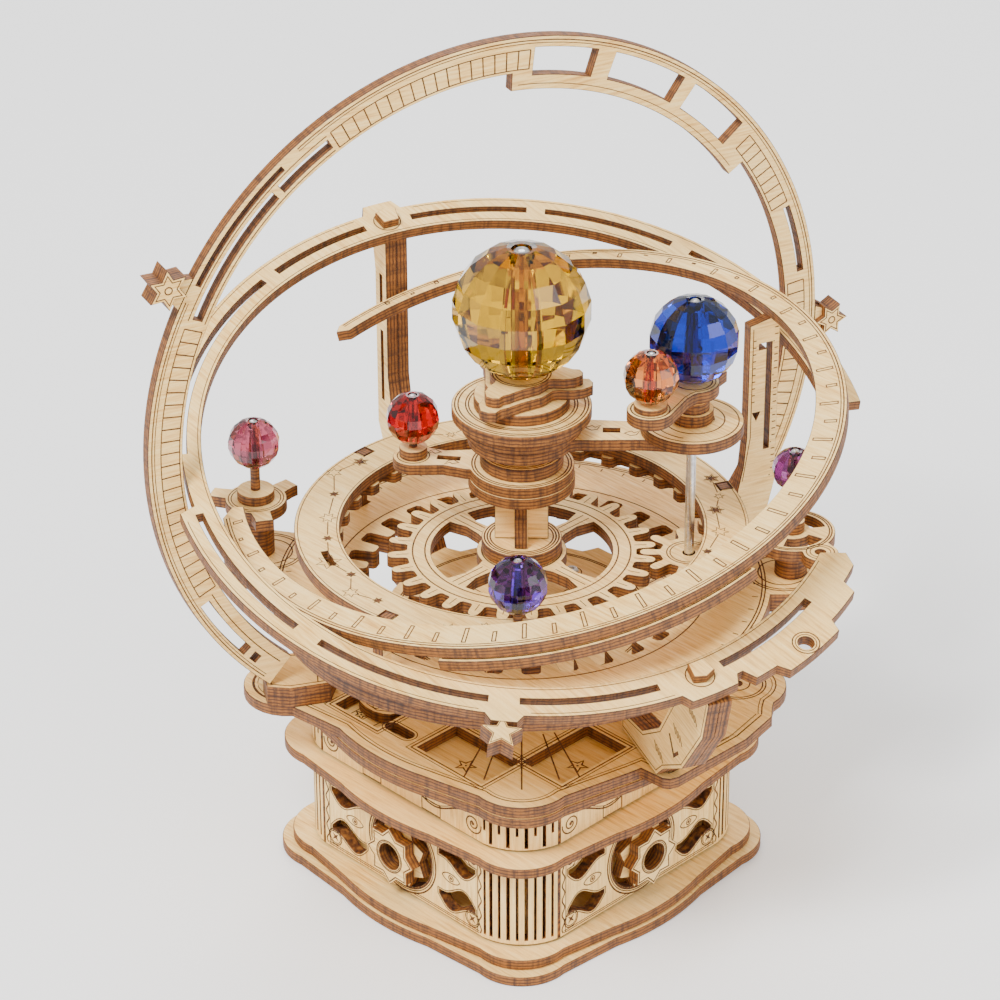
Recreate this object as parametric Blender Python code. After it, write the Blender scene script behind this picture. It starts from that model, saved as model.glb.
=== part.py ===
"""Wooden clockwork orrery on a fluted square base, with tilted sphere rings.

Laser-cut 3 mm plywood sheets, faceted acrylic beads and a small spring movement.
Millimetres in the constants below, metres in the scene, +Z up, origin at the
centre of the base's underside.  The base's sides run along X and Y.
"""
import math

import bmesh
import bpy
from mathutils import Matrix, Vector

MM = 0.001
PLY = 3.0                    # sheet thickness
GAP = 0.3                    # clearance between neighbouring pieces
CUT = PLY - GAP              # drawn thickness of a stacked sheet

# Base and deck: (side distance, half width of the middle bulge, diagonal reach)
FOOT_LOWER = (48.2, 15.0, 61.0)
FOOT_UPPER = (47.4, 15.0, 58.2)
MIDDLE = (47.6, 15.4, 59.6)
DECK = (48.3, 14.5, 58.2)
BASE_AT = (-1.4, 1.4)        # centre of the base below the deck
LOBE_R = 12.8                # radius of the corner lobes
BULGE = 1.8                  # how far the middle of a side bulges
Z_WALL = (6.3, 30.5)
Z_MIDDLE = 30.8
Z_FRIEZE = (34.1, 45.4)
Z_DECK = 45.7
DECK_TOP = 51.7

# Walls: bent sheets with a fluted corner
WALL_FACE = 41.6             # outer face of a wall from the base's centre
WALL_HALF = 28.4             # half length of its flat part
CORNER_R = 15.6              # outer radius of the fluted corner
SLATS = 9
ROSETTE_OPENING = 10.2
ROSETTE_PROUD = 4.5          # a rosette's front stands this far out of its wall

# Sphere rings: centre, tilt, azimuth the normal leans to, inner and outer radius
SLOTTED_C = (0.0, 0.0, 117.1)
SLOTTED_TILT = (18.0, -30.0)
SLOTTED_R = (76.7, 85.3)
SLOTTED_SPAN = (59.0, 382.0)
GRAD_C = (2.6, 0.2, 119.6)
GRAD_TILT = (13.8, -97.2)
GRAD_R = (69.8, 76.0)
GRAD_SPAN = (234.5, 534.5)
GRAD_SWELL = (1.0, 1.4, -15.0)   # outer and inner edge swell, and where the band is widest
MERIDIAN_AZ = 72.7
MERIDIAN_C = (1.1, 124.3)    # along its plane, height
MERIDIAN_OFF = -17.6         # plane's distance from the axis
MERIDIAN_R = (82.0, 90.8)
MERIDIAN_DEEP = 77.6         # inner radius of its deeper stretch

# Gear stage
LOWER_RING_Z = 75.0
SUN_GEAR_Z = 85.0
UPPER_RING_Z = 89.5
STAR_RING_Z = 92.5
STAR_RING_R = (44.2, 55.2)
MODULE = 2.2
SUN_TEETH = 28
PINION_TEETH = 9
EARTH_R = MODULE * (SUN_TEETH + PINION_TEETH) / 2

# Rotating stack
EARTH_AZ = 43.0
RED_AZ = 217.0
RED_R = 26.4
MOON_R = 17.5
MOON_AZ = 278.0
MOON_ARM_Z = 132.3

# Beads: radius, height of centre
SUN_BEAD = (16.6, 153.5)
BLUE_BEAD = (10.8, 146.5)
ORANGE_BEAD = (6.6, 143.8)
RED_BEAD = (6.5, 122.6)
PINK_BEAD = (6.4, 110.5)
PURPLE_BEAD = (5.5, 109.0)
VIOLET_BEAD = (7.0, 107.8)
PINK_AT = (66.6, 213.7)
PURPLE_AT = (66.0, 47.3)
VIOLET_AT = (49.5, -46.0)


def clear_scene():
    for obj in list(bpy.data.objects):
        bpy.data.objects.remove(obj, do_unlink=True)


def make_material(name, colour, roughness, metallic=0.0, transmission=0.0):
    mat = bpy.data.materials.new(name)
    mat.use_nodes = True
    shader = mat.node_tree.nodes["Principled BSDF"]
    shader.inputs["Base Color"].default_value = (*colour, 1.0)
    shader.inputs["Roughness"].default_value = roughness
    shader.inputs["Metallic"].default_value = metallic
    shader.inputs["Transmission Weight"].default_value = transmission
    mat.diffuse_color = (*colour, 1.0)
    return mat


# ---------------------------------------------------------------- outlines

def polar(r, deg, centre=(0.0, 0.0)):
    a = math.radians(deg)
    return (centre[0] + r * math.cos(a), centre[1] + r * math.sin(a))


def arc(r, start, end, steps, centre=(0.0, 0.0)):
    return [polar(r, start + (end - start) * i / steps, centre) for i in range(steps + 1)]


def circle(r, steps, centre=(0.0, 0.0), start=0.0):
    return [polar(r, start + 360.0 * i / steps, centre) for i in range(steps)]


def box(x0, x1, y0, y1):
    return [(x0, y0), (x1, y0), (x1, y1), (x0, y1)]


def turn(points, deg):
    c, s = math.cos(math.radians(deg)), math.sin(math.radians(deg))
    return [(x * c - y * s, x * s + y * c) for x, y in points]


def shift(points, dx, dy):
    return [(x + dx, y + dy) for x, y in points]


def star(points, r_tip, r_notch, start=0.0):
    step = 180.0 / points
    return [polar(r_notch if i % 2 else r_tip, start + i * step) for i in range(2 * points)]


def ring_sector(r_in, r_out, start, end, steps):
    return arc(r_out, start, end, steps) + arc(r_in, end, start, steps)


def scallop(plan, at=(0.0, 0.0)):
    """Square sheet with round corner lobes and a bulge in each side."""
    side, half, reach_out = plan
    lobe = (reach_out - LOBE_R) / math.sqrt(2)
    quarter = [(side + BULGE * (1 - (t / 4) ** 2), half * t / 4) for t in range(4)]
    quarter.append((side, half))
    quarter += arc(LOBE_R, -8, 98, 9, (lobe, lobe))
    quarter.append((half, side))
    quarter += [(half * t / 4, side + BULGE * (1 - (t / 4) ** 2)) for t in (3, 2, 1)]
    points = []
    for k in range(4):
        points += turn(quarter, 90 * k)
    return shift(points, *at)


def reach(points, deg):
    """Distance from the origin to the outermost crossing with a ray."""
    dx, dy = math.cos(math.radians(deg)), math.sin(math.radians(deg))
    best = 0.0
    for (ax, ay), (bx, by) in zip(points, points[1:] + points[:1]):
        ca, cb = dx * ay - dy * ax, dx * by - dy * bx
        if abs(ca - cb) < 1e-9 or ca * cb > 1e-12:
            continue
        t = ca / (ca - cb)
        best = max(best, dx * (ax + t * (bx - ax)) + dy * (ay + t * (by - ay)))
    return best


def merged(*shapes):
    """Outline around several shapes that overlap, seen from the origin."""
    angles = sorted({round(math.degrees(math.atan2(y, x)), 2) for s in shapes for x, y in s})
    kept = [angles[0]]
    for a in angles[1:]:
        if a - kept[-1] > 0.25:
            kept.append(a)
    return [polar(max(reach(s, a) for s in shapes), a) for a in kept]


def external_gear(teeth, module, slim=0.5, start=0.0):
    """Rounded teeth on a disc; slim is the tooth's share of the pitch."""
    pitch_r = module * teeth / 2
    root, tip = pitch_r - 1.25 * module, pitch_r + 0.95 * module
    pitch = 360.0 / teeth
    w = pitch * slim / 2
    points = []
    for k in range(teeth):
        a = start + k * pitch
        for r, f in ((root, -1.35), (pitch_r, -1.0), (tip - 0.35 * module, -0.5)):
            points.append(polar(r, a + f * w))
        points.append(polar(tip, a))
        for r, f in ((tip - 0.35 * module, 0.5), (pitch_r, 1.0), (root, 1.35)):
            points.append(polar(r, a + f * w))
    return points


def internal_teeth(teeth, r_root, r_tip, start=0.0):
    """Rounded teeth pointing to the centre."""
    pitch = 360.0 / teeth
    points = []
    for k in range(teeth):
        a = start + k * pitch
        for r, f in ((r_root, -0.33), (r_tip + 0.8, -0.2), (r_tip, 0.0), (r_tip + 0.8, 0.2), (r_root, 0.33)):
            points.append(polar(r, a + f * pitch))
    return points


def wave_window(x0, x1, centre, rise, half, steps=6):
    """Tilde-shaped window, pointed at both ends."""
    top, bottom = [], []
    for i in range(steps + 1):
        t = i / steps
        x = x0 + (x1 - x0) * t
        mid = centre + rise * math.sin(2 * math.pi * t)
        h = half * (0.25 + 0.75 * math.sin(math.pi * t))
        top.append((x, mid + h))
        bottom.append((x, mid - h))
    return bottom + top[::-1]


# ------------------------------------------------------------------ solids

def finish(name, bm, mat, smooth=None, place=None):
    bmesh.ops.recalc_face_normals(bm, faces=bm.faces)
    mesh = bpy.data.meshes.new(name)
    bm.to_mesh(mesh)
    bm.free()
    mesh.materials.append(mat)
    if smooth:
        mesh.shade_smooth()
        mesh.set_sharp_from_angle(angle=math.radians(smooth))
    obj = bpy.data.objects.new(name, mesh)
    bpy.context.scene.collection.objects.link(obj)
    if place is not None:
        obj.matrix_world = place
    return obj


def filled(bm, loops):
    edges = []
    for loop in loops:
        verts = [bm.verts.new((x * MM, y * MM, 0.0)) for x, y in loop]
        for i, v in enumerate(verts):
            edges.append(bm.edges.new((v, verts[(i + 1) % len(verts)])))
    bmesh.ops.triangle_fill(bm, use_beauty=True, use_dissolve=False, edges=edges)


def thicken(bm, depth):
    grown = bmesh.ops.extrude_face_region(bm, geom=bm.faces[:])
    moved = [g for g in grown["geom"] if isinstance(g, bmesh.types.BMVert)]
    bmesh.ops.translate(bm, verts=moved, vec=(0.0, 0.0, depth * MM))


def sheet(name, mat, loops, thick=CUT, place=None, smooth=25):
    """Flat piece: outline first, then its holes, extruded along local Z."""
    bm = bmesh.new()
    filled(bm, loops)
    thicken(bm, thick)
    return finish(name, bm, mat, smooth, place)


def flat(z, x=0.0, y=0.0, spin=0.0):
    return Matrix.Translation((x * MM, y * MM, z * MM)) @ Matrix.Rotation(math.radians(spin), 4, "Z")


def tilted(centre, tilt, thick=PLY):
    lean, az = math.radians(tilt[0]), math.radians(tilt[1])
    spin = Matrix.Rotation(az, 4, "Z") @ Matrix.Rotation(lean, 4, "Y") @ Matrix.Rotation(-az, 4, "Z")
    return Matrix.Translation(Vector(centre) * MM) @ spin @ Matrix.Translation((0, 0, -thick / 2 * MM))


def upright(az, off=0.0, along=0.0, z=0.0, thick=PLY):
    """Local X runs along azimuth az, local Y is up, the sheet is centred on its plane."""
    a = math.radians(az)
    d, n = Vector((math.cos(a), math.sin(a), 0.0)), Vector((math.sin(a), -math.cos(a), 0.0))
    origin = (d * along + n * (off - thick / 2) + Vector((0, 0, z))) * MM
    rot = Matrix((d, (0, 0, 1), n)).transposed().to_4x4()
    return Matrix.Translation(origin) @ rot


def turned(name, mat, profile, steps=24, place=None, closed=False, smooth=35):
    """Turned piece: (radius, height) pairs; closed for a profile with a bore."""
    bm = bmesh.new()
    rings = []
    for r, z in profile:
        count = 1 if r == 0 else steps
        ring = [bm.verts.new((*[c * MM for c in polar(r, 360.0 * i / steps)], z * MM))
                for i in range(count)]
        rings.append(ring)
    pairs = list(zip(rings, rings[1:]))
    if closed:
        pairs.append((rings[-1], rings[0]))
    for a, b in pairs:
        for i in range(steps):
            j = (i + 1) % steps
            corners = [a[i % len(a)], a[j % len(a)], b[j % len(b)], b[i % len(b)]]
            bm.faces.new(list(dict.fromkeys(corners)))
    return finish(name, bm, mat, smooth, place)


def washer(r_in, r_out, z0, z1):
    return [(r_in, z0), (r_out, z0), (r_out, z1), (r_in, z1)]


def bead(name, mat, size, at, rows=8, cols=12, stem=0.0):
    """Faceted ball cut from flats, with an optional pin below it."""
    r, z = size
    profile = [(0.0, -r * 0.985)]
    if stem:
        profile = [(0.0, -r - stem), (1.2, -r - stem), (1.2, -r * 0.98)]
    for k in range(1, rows):
        a = math.pi * k / rows
        profile.append((r * math.sin(a), -r * math.cos(a)))
    profile.append((0.0, r * 0.985))
    return turned(name, mat, profile, cols, flat(z, *at), smooth=None)


# -------------------------------------------------------------------- base

def wall_point(s, depth, turn_deg):
    """Maps the run along a bent wall and the depth behind its face to plan."""
    if s <= 2 * WALL_HALF:
        p = (-WALL_HALF + s, -(WALL_FACE - depth))
    else:
        half_chord = (WALL_FACE - WALL_HALF) / math.sqrt(2)
        drop = math.sqrt(CORNER_R ** 2 - half_chord ** 2)
        mid = (WALL_HALF + WALL_FACE) / 2
        c = (mid - drop / math.sqrt(2), -(mid - drop / math.sqrt(2)))
        sweep = 2 * math.degrees(math.asin(half_chord / CORNER_R))
        a = -45 - sweep / 2 + (s - 2 * WALL_HALF) / 20.0 * sweep
        p = polar(CORNER_R - depth, a, c)
    return shift(turn([p], turn_deg), *BASE_AT)[0]


def bent_wall(name, mat, heights, holes, turn_deg):
    """Flat panel and the fluted corner at its right-hand end, one bent sheet."""
    z0, z1 = heights
    run = 2 * WALL_HALF
    bm = bmesh.new()
    filled(bm, [box(0.0, run, z0, z1)] + holes)
    edge = {round(v.co.y / MM, 3): v for v in bm.verts if abs(v.co.x / MM - run) < 1e-4}
    low, high = edge[round(z0, 3)], edge[round(z1, 3)]
    for k in range(1, SLATS + 1):
        x = (run + 20.0 * k / SLATS) * MM
        a, b = bm.verts.new((x, z0 * MM, 0)), bm.verts.new((x, z1 * MM, 0))
        bm.faces.new((low, a, b, high))
        low, high = a, b
    thicken(bm, PLY)
    for v in bm.verts:
        s, z, depth = v.co / MM
        x, y = wall_point(s, depth, turn_deg)
        if s > run + 19.9:
            gap_x, gap_y = turn([(0.0, -0.5 - GAP)], turn_deg)[0]
            x, y = x + gap_x, y + gap_y
        v.co = Vector((x, y, z)) * MM
    return finish(name, bm, mat, 20)


def wall_holes():
    """Rosette opening and the four wavy windows, in run and height."""
    z = (Z_WALL[0] + Z_WALL[1]) / 2
    mid = WALL_HALF
    holes = [circle(ROSETTE_OPENING, 24, (mid, z))]
    for side in (-1, 1):
        for level in (-1, 1):
            x0, x1 = sorted((mid + side * 13.0, mid + side * 25.6))
            holes.append(wave_window(x0, x1, z + level * 5.9, 1.3 * side * level, 3.0, 8))
    return holes


def build_base(wood):
    sheet("base_sheet_lower", wood, [scallop(FOOT_LOWER, BASE_AT)])
    sheet("base_sheet_upper", wood, [scallop(FOOT_UPPER, BASE_AT)], place=flat(PLY))
    z = (Z_WALL[0] + Z_WALL[1]) / 2
    rosette = [star(8, 9.6, 7.2, 22.5), circle(3.6, 16)]
    centre = Matrix.Translation((BASE_AT[0] * MM, BASE_AT[1] * MM, 0.0))
    for k, side in enumerate(("front", "right", "back", "left")):
        bent_wall("wall_" + side, wood, Z_WALL, wall_holes(), 90 * k)
        bent_wall("frieze_" + side, wood, Z_FRIEZE, [], 90 * k)
        front = upright(90 * k, WALL_FACE + ROSETTE_PROUD - PLY, 0, z, 2 * PLY)
        sheet("rosette_" + side, wood, rosette, 2 * PLY, centre @ front)
    sheet("middle_sheet", wood, [scallop(MIDDLE, BASE_AT), circle(9.0, 24)], place=flat(Z_MIDDLE))


def build_deck(wood):
    sheet("deck_lower", wood, [scallop(DECK), circle(7.0, 24)], place=flat(Z_DECK))
    left_lobe = circle(11.3, 20, polar(57.7, 228.0))
    right_lobe = circle(12.3, 20, polar(53.4, 41.0))
    right_shelf = [(40, -8.6), (56.0, -8.6), (58.4, -5.5), (58.8, 18), (56.5, 30), (48, 40), (40, 40)]
    back_shelf = [(12, 40), (12, 59.5), (9, 62.5), (-9, 62.5), (-12, 59.5), (-12, 40)]
    pockets = [
        box(-23.0, -8.0, -41.5, -27.5),
        box(5.0, 27.0, -40.5, -27.5),
        turn(box(5.0, 27.0, 27.5, 40.5), -90),
        shift(arc(1.6, 90, 270, 5) + shift(arc(1.6, -90, 90, 5), 5.5, 0), -6.0, -38.6),
    ]
    outline = merged(scallop(DECK), left_lobe, right_lobe, right_shelf, back_shelf)
    sheet("deck_upper", wood, [outline, circle(7.0, 24)] + pockets, place=flat(Z_DECK + PLY))
    lever = [(-6.5, 0), (-4, -2.2), (1.5, -2.8), (5.5, -0.8), (6.7, 2.2), (3.5, 1.2), (0, 0.8), (-4, 1.9)]
    sheet("start_lever", wood, [lever], place=flat(Z_DECK + PLY + GAP, -15.5, -34.5))


# ---------------------------------------------------------------- movement

def build_movement(brass, steel, wood):
    sheet("movement_bedplate", brass, [box(-20, 20, -15, 15)], 2.0, flat(6.3))
    turned("spring_barrel", brass, [(0, 0), (9, 0), (9, 11), (0, 11)], 20, flat(8.6, -9.5, 4.0))
    lying = Matrix.Translation((0.0, -9.6 * MM, 17.5 * MM)) @ Matrix.Rotation(math.radians(90), 4, "Y")
    turned("pin_cylinder", brass, [(0, -10), (4.2, -10), (4.2, 12), (0, 12)], 20, lying)
    sheet("tone_comb", steel, [box(-10, 12, -4.4, 8.0)], 1.2, flat(23.0))
    turned("governor", steel, [(0, 0), (1, 0), (1, 2), (4.5, 2), (4.5, 9), (1, 9), (1, 11), (0, 11)],
           16, flat(8.6, 13.0, 4.0))
    half = [(1.5, 17.0), (1.5, 48.6), (4.5, 50.0), (9.0, 50.6), (9.6, 55.5), (6.5, 59.0), (1.8, 58.0)]
    outline = half + [(-x, y) for x, y in reversed(half)]
    sheet("winding_key", wood, [outline], 3.0, flat(16.9))


# ------------------------------------------------------------------- rings

def slotted_holes():
    """Slots along the middle of the double-rail ring."""
    r0, r1 = 80.2, 81.9
    spans = [(64, 77), (93, 104), (108, 131.5), (135, 156), (165, 184.6), (188, 233), (247, 276),
             (281, 310.2), (315.4, 338.2), (350, 371)]
    return [ring_sector(r0, r1, a, b, max(2, int((b - a) / 6))) for a, b in spans]


def slotted_outline():
    r_in, r_out = SLOTTED_R
    start, end = SLOTTED_SPAN
    outer, a = [], start
    while a <= end + 0.01:
        r = r_out + (5.6 if 356.0 < a < 371.0 else 0.0)
        for notch in (85.0, 240.0):
            if abs(a - notch) < 5.5:
                r = r_out - 3.8
        for lug, width, rise in ((160.5, 3.5, 3.0), (312.8, 3.0, 8.4), (345.6, 4.5, 2.4)):
            if abs(a - lug) < width:
                r = r_out + rise
        outer.append(polar(r, a))
        a += 3.0
    tip = [polar(r_out - 3.0, end + 2.0)]
    inner = arc(r_in, end, start, 58)
    return outer + tip + inner


def meridian_outline():
    """Tall ring with a deeper stretch near its top and a stubby star at each side."""
    r_in, r_out = MERIDIAN_R
    stars = [(-4.0, 93.2), (-3.4, 98.6), (-0.4, 98.6), (0.2, 93.2)]
    stars_left = [(148.4, 93.2), (148.8, 101.0), (152.8, 101.0), (153.2, 93.2)]
    outer = arc(r_out, -52.4, -4.4, 14) + [polar(r, a) for a, r in stars]
    outer += arc(r_out, 0.6, 148.0, 38) + [polar(r, a) for a, r in stars_left] + arc(r_out, 153.6, 226.8, 20)
    inner = arc(r_in, 226.8, 86.6, 34) + arc(MERIDIAN_DEEP, 86.6, 34.0, 13) + arc(r_in, 34.0, -52.4, 22)
    return outer + inner


def meridian_holes():
    """Three openings in the deeper stretch and the slots beside the stars."""
    holes = [ring_sector(81.2, 88.0, a, b, 4) for a, b in ((39.8, 51.8), (54.4, 68.2), (71.6, 82.8))]
    slots = ((83.9, 86.3, 119.6, 129.8), (83.9, 86.3, 131.2, 154.2), (86.0, 87.6, 8.2, 20.8),
             (86.0, 88.4, 206.4, 219.0))
    return holes + [ring_sector(r0, r1, a, b, 5) for r0, r1, a, b in slots]


def build_sphere_rings(wood):
    sheet("meridian_ring", wood, [meridian_outline()] + meridian_holes(), PLY,
          upright(MERIDIAN_AZ, MERIDIAN_OFF, *MERIDIAN_C))
    foot = [(-6, -8), (5, -8.5), (9.5, -6.5), (10.2, 0), (9.5, 6.5), (4, 8), (-6, 6.5), (-8, 0)]
    x, y = polar(54.0, 232.0)
    sheet("meridian_foot", wood, [foot], 2 * PLY - GAP, flat(DECK_TOP, x, y, 232))

    sheet("slotted_ring", wood, [slotted_outline()] + slotted_holes(), PLY,
          tilted(SLOTTED_C, SLOTTED_TILT))
    r_in, r_out = GRAD_R
    start, end = GRAD_SPAN
    grow_out, grow_in, widest = GRAD_SWELL
    band = arc(r_out, start, end, 60, polar(grow_out, widest)) + [polar(r_in + 3.6, end + 1.8)]
    band += arc(r_in, end, start, 60, polar(-grow_in, widest)) + [polar(r_in + 3.0, start - 2.0)]
    sheet("graduated_ring", wood, [band], PLY, tilted(GRAD_C, GRAD_TILT))
    lean, drop = math.radians(GRAD_TILT[0]), PLY + GAP
    back = polar(drop * math.sin(lean), GRAD_TILT[1])
    below = (GRAD_C[0] - back[0], GRAD_C[1] - back[1], GRAD_C[2] - drop * math.cos(lean))
    under = shift(ring_sector(r_in, r_out, -63.0, -4.0, 18), *polar(1.9, -18.0))
    sheet("graduated_arc", wood, [under], PLY, tilted(below, GRAD_TILT))


def build_posts(wood):
    post = [(44, 52), (57, 52), (62, 60), (72, 72), (82, 84), (82, 128), (84.5, 142.0),
            (75, 139.0), (75, 100), (70, 88), (60, 70), (52, 60), (44, 58)]
    sheet("back_post", wood, [post], 2 * PLY, upright(160.0, 0, 0, 0, 2 * PLY))
    bracket = [(31, 52), (53, 52), (57, 56), (68, 63), (79, 78), (82, 89.0), (72, 92.2),
               (67, 86), (60.5, 76), (54, 66), (44, 59), (31, 57)]
    sheet("front_bracket", wood, [bracket], 2 * PLY, upright(-24.0, -17.0, 0, 0, 2 * PLY))
    right = [(34, 52), (47, 52), (55, 58), (68, 68), (74, 86), (74, 133.2), (65.5, 131.5),
             (65.5, 100), (63.5, 86), (61.5, 72), (47, 62), (34, 58)]
    sheet("right_post", wood, [right], PLY, upright(72.0, -6.2))


# -------------------------------------------------------------- gear stage

def pillar_hole(az, grow=0.4):
    return turn(box(51.8 - grow, 54.4 + grow, -1.5 - grow, 1.5 + grow), az)


def build_gear_stage(wood, azimuths=(183.0, 279.0, 65.0)):
    turned("stage_plate", wood, [(6, 52), (17, 52), (17, 67), (34, 67), (34, 69.7), (6, 69.7)],
           36, closed=True)
    post_holes = [turn(box(53.4, 57.6, -2.0, 2.0), a) for a in azimuths]
    ears = [turn(shift(circle(11.0, 14), 64.0, 0), PINK_AT[1]),
            turn(shift(circle(11.0, 14), 64.0, 0), PURPLE_AT[1])]
    outer = merged(circle(61.0, 60), *ears)
    sheet("lower_gear_ring", wood, [outer, internal_teeth(30, 44.0, 38.0)] + post_holes,
          5.0, flat(LOWER_RING_Z))
    sheet("upper_gear_ring", wood, [circle(50.6, 48), internal_teeth(34, 46.4, 43.4)], CUT,
          flat(UPPER_RING_Z))
    r_in, r_out = STAR_RING_R
    tabs = [pillar_hole(a) for a in azimuths]
    oval = ring_sector(48.2, 50.2, 241.0, 250.0, 3)
    sheet("constellation_ring", wood, [circle(r_out, 60), circle(r_in, 60), oval] + tabs, PLY,
          flat(STAR_RING_Z))
    for k, a in enumerate(azimuths):
        foot = 72.5 if k == 1 else 52.0      # the front one hangs between the two rings
        pillar = [(53.8, foot), (57.2, foot), (57.2, 92.2), (54.4, 92.2), (54.4, 95.5), (51.8, 95.5),
                  (51.8, 89.8), (53.8, 89.8)]
        sheet("ring_pillar_%d" % (k + 1), wood, [pillar], PLY, upright(a))
    gear = external_gear(SUN_TEETH, MODULE, 0.46, EARTH_AZ + 180.0 / SUN_TEETH)
    spokes = [ring_sector(10.6, 22.0, a + 9, a + 81, 8) for a in (0, 90, 180, 270)]
    sheet("sun_gear", wood, [gear, circle(4.6, 20)] + spokes, PLY, flat(SUN_GEAR_Z))


# ------------------------------------------------------------ rotating stack

def build_rotor(wood):
    shaft = [(0, 30), (4, 30), (4, 88.3), (9.8, 88.3), (9.8, 91.8), (0, 91.8)]
    turned("drive_shaft", wood, shaft, 32)
    half, arm = 6.5, 1.5
    cross = [(half, -arm), (half, arm), (arm, arm), (arm, half), (-arm, half), (-arm, arm),
             (-half, arm), (-half, -arm), (-arm, -arm), (-arm, -half), (arm, -half), (arm, -arm)]
    sheet("cross_column", wood, [cross], 106.2 - 92.1, flat(92.1, 0, 0, EARTH_AZ))
    end = circle(5.0, 14, (RED_R, 0))
    neck = [(0, -5), (RED_R, -3.4), (RED_R, 3.4), (0, 5)]
    sheet("inner_arm", wood, [merged(circle(12.9, 36), neck, end)], 5.7, flat(106.5, 0, 0, RED_AZ))
    stack = [(0, 112.5), (10.1, 112.5), (10.1, 115.8), (7.0, 115.8), (7.0, 125.5), (16.8, 125.5),
             (16.8, 128.4), (11.5, 128.4), (11.5, 131.2), (0, 131.2)]
    turned("upper_column", wood, stack, 36)
    reach_arm = merged(circle(13.0, 32), [(0, -5.5), (EARTH_R, -4.6), (EARTH_R, 4.6), (0, 5.5)],
                       circle(5.6, 16, (EARTH_R, 0)))
    sheet("outer_arm", wood, [reach_arm, circle(7.3, 24), circle(1.6, 12, (EARTH_R, 0))], PLY,
          flat(118.6, 0, 0, EARTH_AZ))
    sheet("sun_swirl", wood, [swirl(17.0)], 5.4, flat(131.5))
    x, y = polar(RED_R, RED_AZ)
    red_seat = [(0, 112.5), (3.4, 112.5), (3.4, 114.8), (1.0, 114.8), (1.0, 116.0), (0, 116.0)]
    turned("red_seat", wood, red_seat, 16, flat(0, x, y))
    turned("earth_disc", wood, washer(1.6, 12.4, 121.9, 124.9), 36, flat(0, *polar(EARTH_R, EARTH_AZ)),
           closed=True)


def swirl(r):
    """Three curved blades around a hub."""
    points = []
    for k in range(3):
        a = 120 * k + 20
        points += [polar(9.0, a), polar(12.5, a + 6), polar(r, a + 22), polar(r - 0.6, a + 34),
                   polar(13.2, a + 40), polar(10.2, a + 52), polar(9.0, a + 78), polar(9.0, a + 100)]
    return points


def build_moon_group(wood, steel):
    x, y = polar(EARTH_R, EARTH_AZ)
    rod = [(0, 84.2), (1.2, 84.2), (1.2, 125.2), (4.1, 125.2), (4.1, 128.4), (1.2, 128.4),
           (1.2, 132.0), (0, 132.0)]
    turned("moon_spindle", steel, rod, 14, flat(0, x, y))
    phase = EARTH_AZ + 180.0
    pinion = external_gear(PINION_TEETH, MODULE, 0.42, phase)
    sheet("moon_pinion", wood, [pinion, circle(1.5, 12)], PLY, flat(SUN_GEAR_Z, x, y))
    arm = merged(circle(5.4, 20), circle(4.4, 16, (MOON_R, 0)),
                 [(-9.0, -3.6), (MOON_R, -3.6), (MOON_R, 3.6), (-9.0, 3.6)])
    sheet("moon_arm", wood, [arm], PLY, flat(MOON_ARM_Z, x, y, MOON_AZ))


def build_outer_seats(wood):
    pink = [(0, 80.4), (4.2, 80.4), (4.2, 92.0), (10.0, 92.0), (10.0, 95.0), (4.6, 95.0),
            (4.6, 97.6), (1.2, 97.6), (1.2, 103.8), (0, 103.8)]
    turned("pink_carrier", wood, pink, 20, flat(0, *polar(*PINK_AT)))
    purple = [(0, 80.4), (4.0, 80.4), (4.0, 89.0), (10.5, 89.0), (10.5, 92.0), (3.0, 92.0),
              (3.0, 95.0), (1.2, 95.0), (1.2, 103.1), (0, 103.1)]
    turned("purple_wheel", wood, purple, 20, flat(0, *polar(*PURPLE_AT)))


def build_beads(mats):
    ex, ey = polar(EARTH_R, EARTH_AZ)
    mx, my = polar(MOON_R, MOON_AZ, (ex, ey))
    bead("sun_bead", mats["sun"], SUN_BEAD, (0, 0), 12, 18)
    bead("blue_bead", mats["blue"], BLUE_BEAD, (ex, ey), 10, 14)
    bead("orange_bead", mats["orange"], ORANGE_BEAD, (mx, my))
    bead("red_bead", mats["red"], RED_BEAD, polar(RED_R, RED_AZ))
    bead("pink_bead", mats["pink"], PINK_BEAD, polar(*PINK_AT))
    bead("purple_bead", mats["purple"], PURPLE_BEAD, polar(*PURPLE_AT))
    bead("violet_bead", mats["violet"], VIOLET_BEAD, polar(*VIOLET_AT), stem=5.0)


def main():
    clear_scene()
    wood = make_material("birch_ply", (0.80, 0.60, 0.36), 0.6)
    steel = make_material("steel", (0.62, 0.62, 0.62), 0.3, 1.0)
    brass = make_material("brass", (0.70, 0.52, 0.22), 0.35, 1.0)
    beads = {
        "sun": make_material("acrylic_yellow", (0.95, 0.72, 0.02), 0.05, 0.0, 0.8),
        "blue": make_material("acrylic_blue", (0.01, 0.12, 0.70), 0.05, 0.0, 0.8),
        "orange": make_material("acrylic_orange", (0.95, 0.28, 0.02), 0.05, 0.0, 0.8),
        "red": make_material("acrylic_red", (0.75, 0.01, 0.01), 0.05, 0.0, 0.8),
        "pink": make_material("acrylic_pink", (0.75, 0.20, 0.32), 0.05, 0.0, 0.8),
        "purple": make_material("acrylic_purple", (0.38, 0.06, 0.30), 0.05, 0.0, 0.8),
        "violet": make_material("acrylic_violet", (0.12, 0.03, 0.55), 0.05, 0.0, 0.8),
    }
    build_base(wood)
    build_deck(wood)
    build_movement(brass, steel, wood)
    build_sphere_rings(wood)
    build_posts(wood)
    build_gear_stage(wood)
    build_rotor(wood)
    build_moon_group(wood, steel)
    build_outer_seats(wood)
    build_beads(beads)


main()
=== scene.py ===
"""Looks of the wooden clockwork orrery: materials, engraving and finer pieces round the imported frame."""

import math

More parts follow.
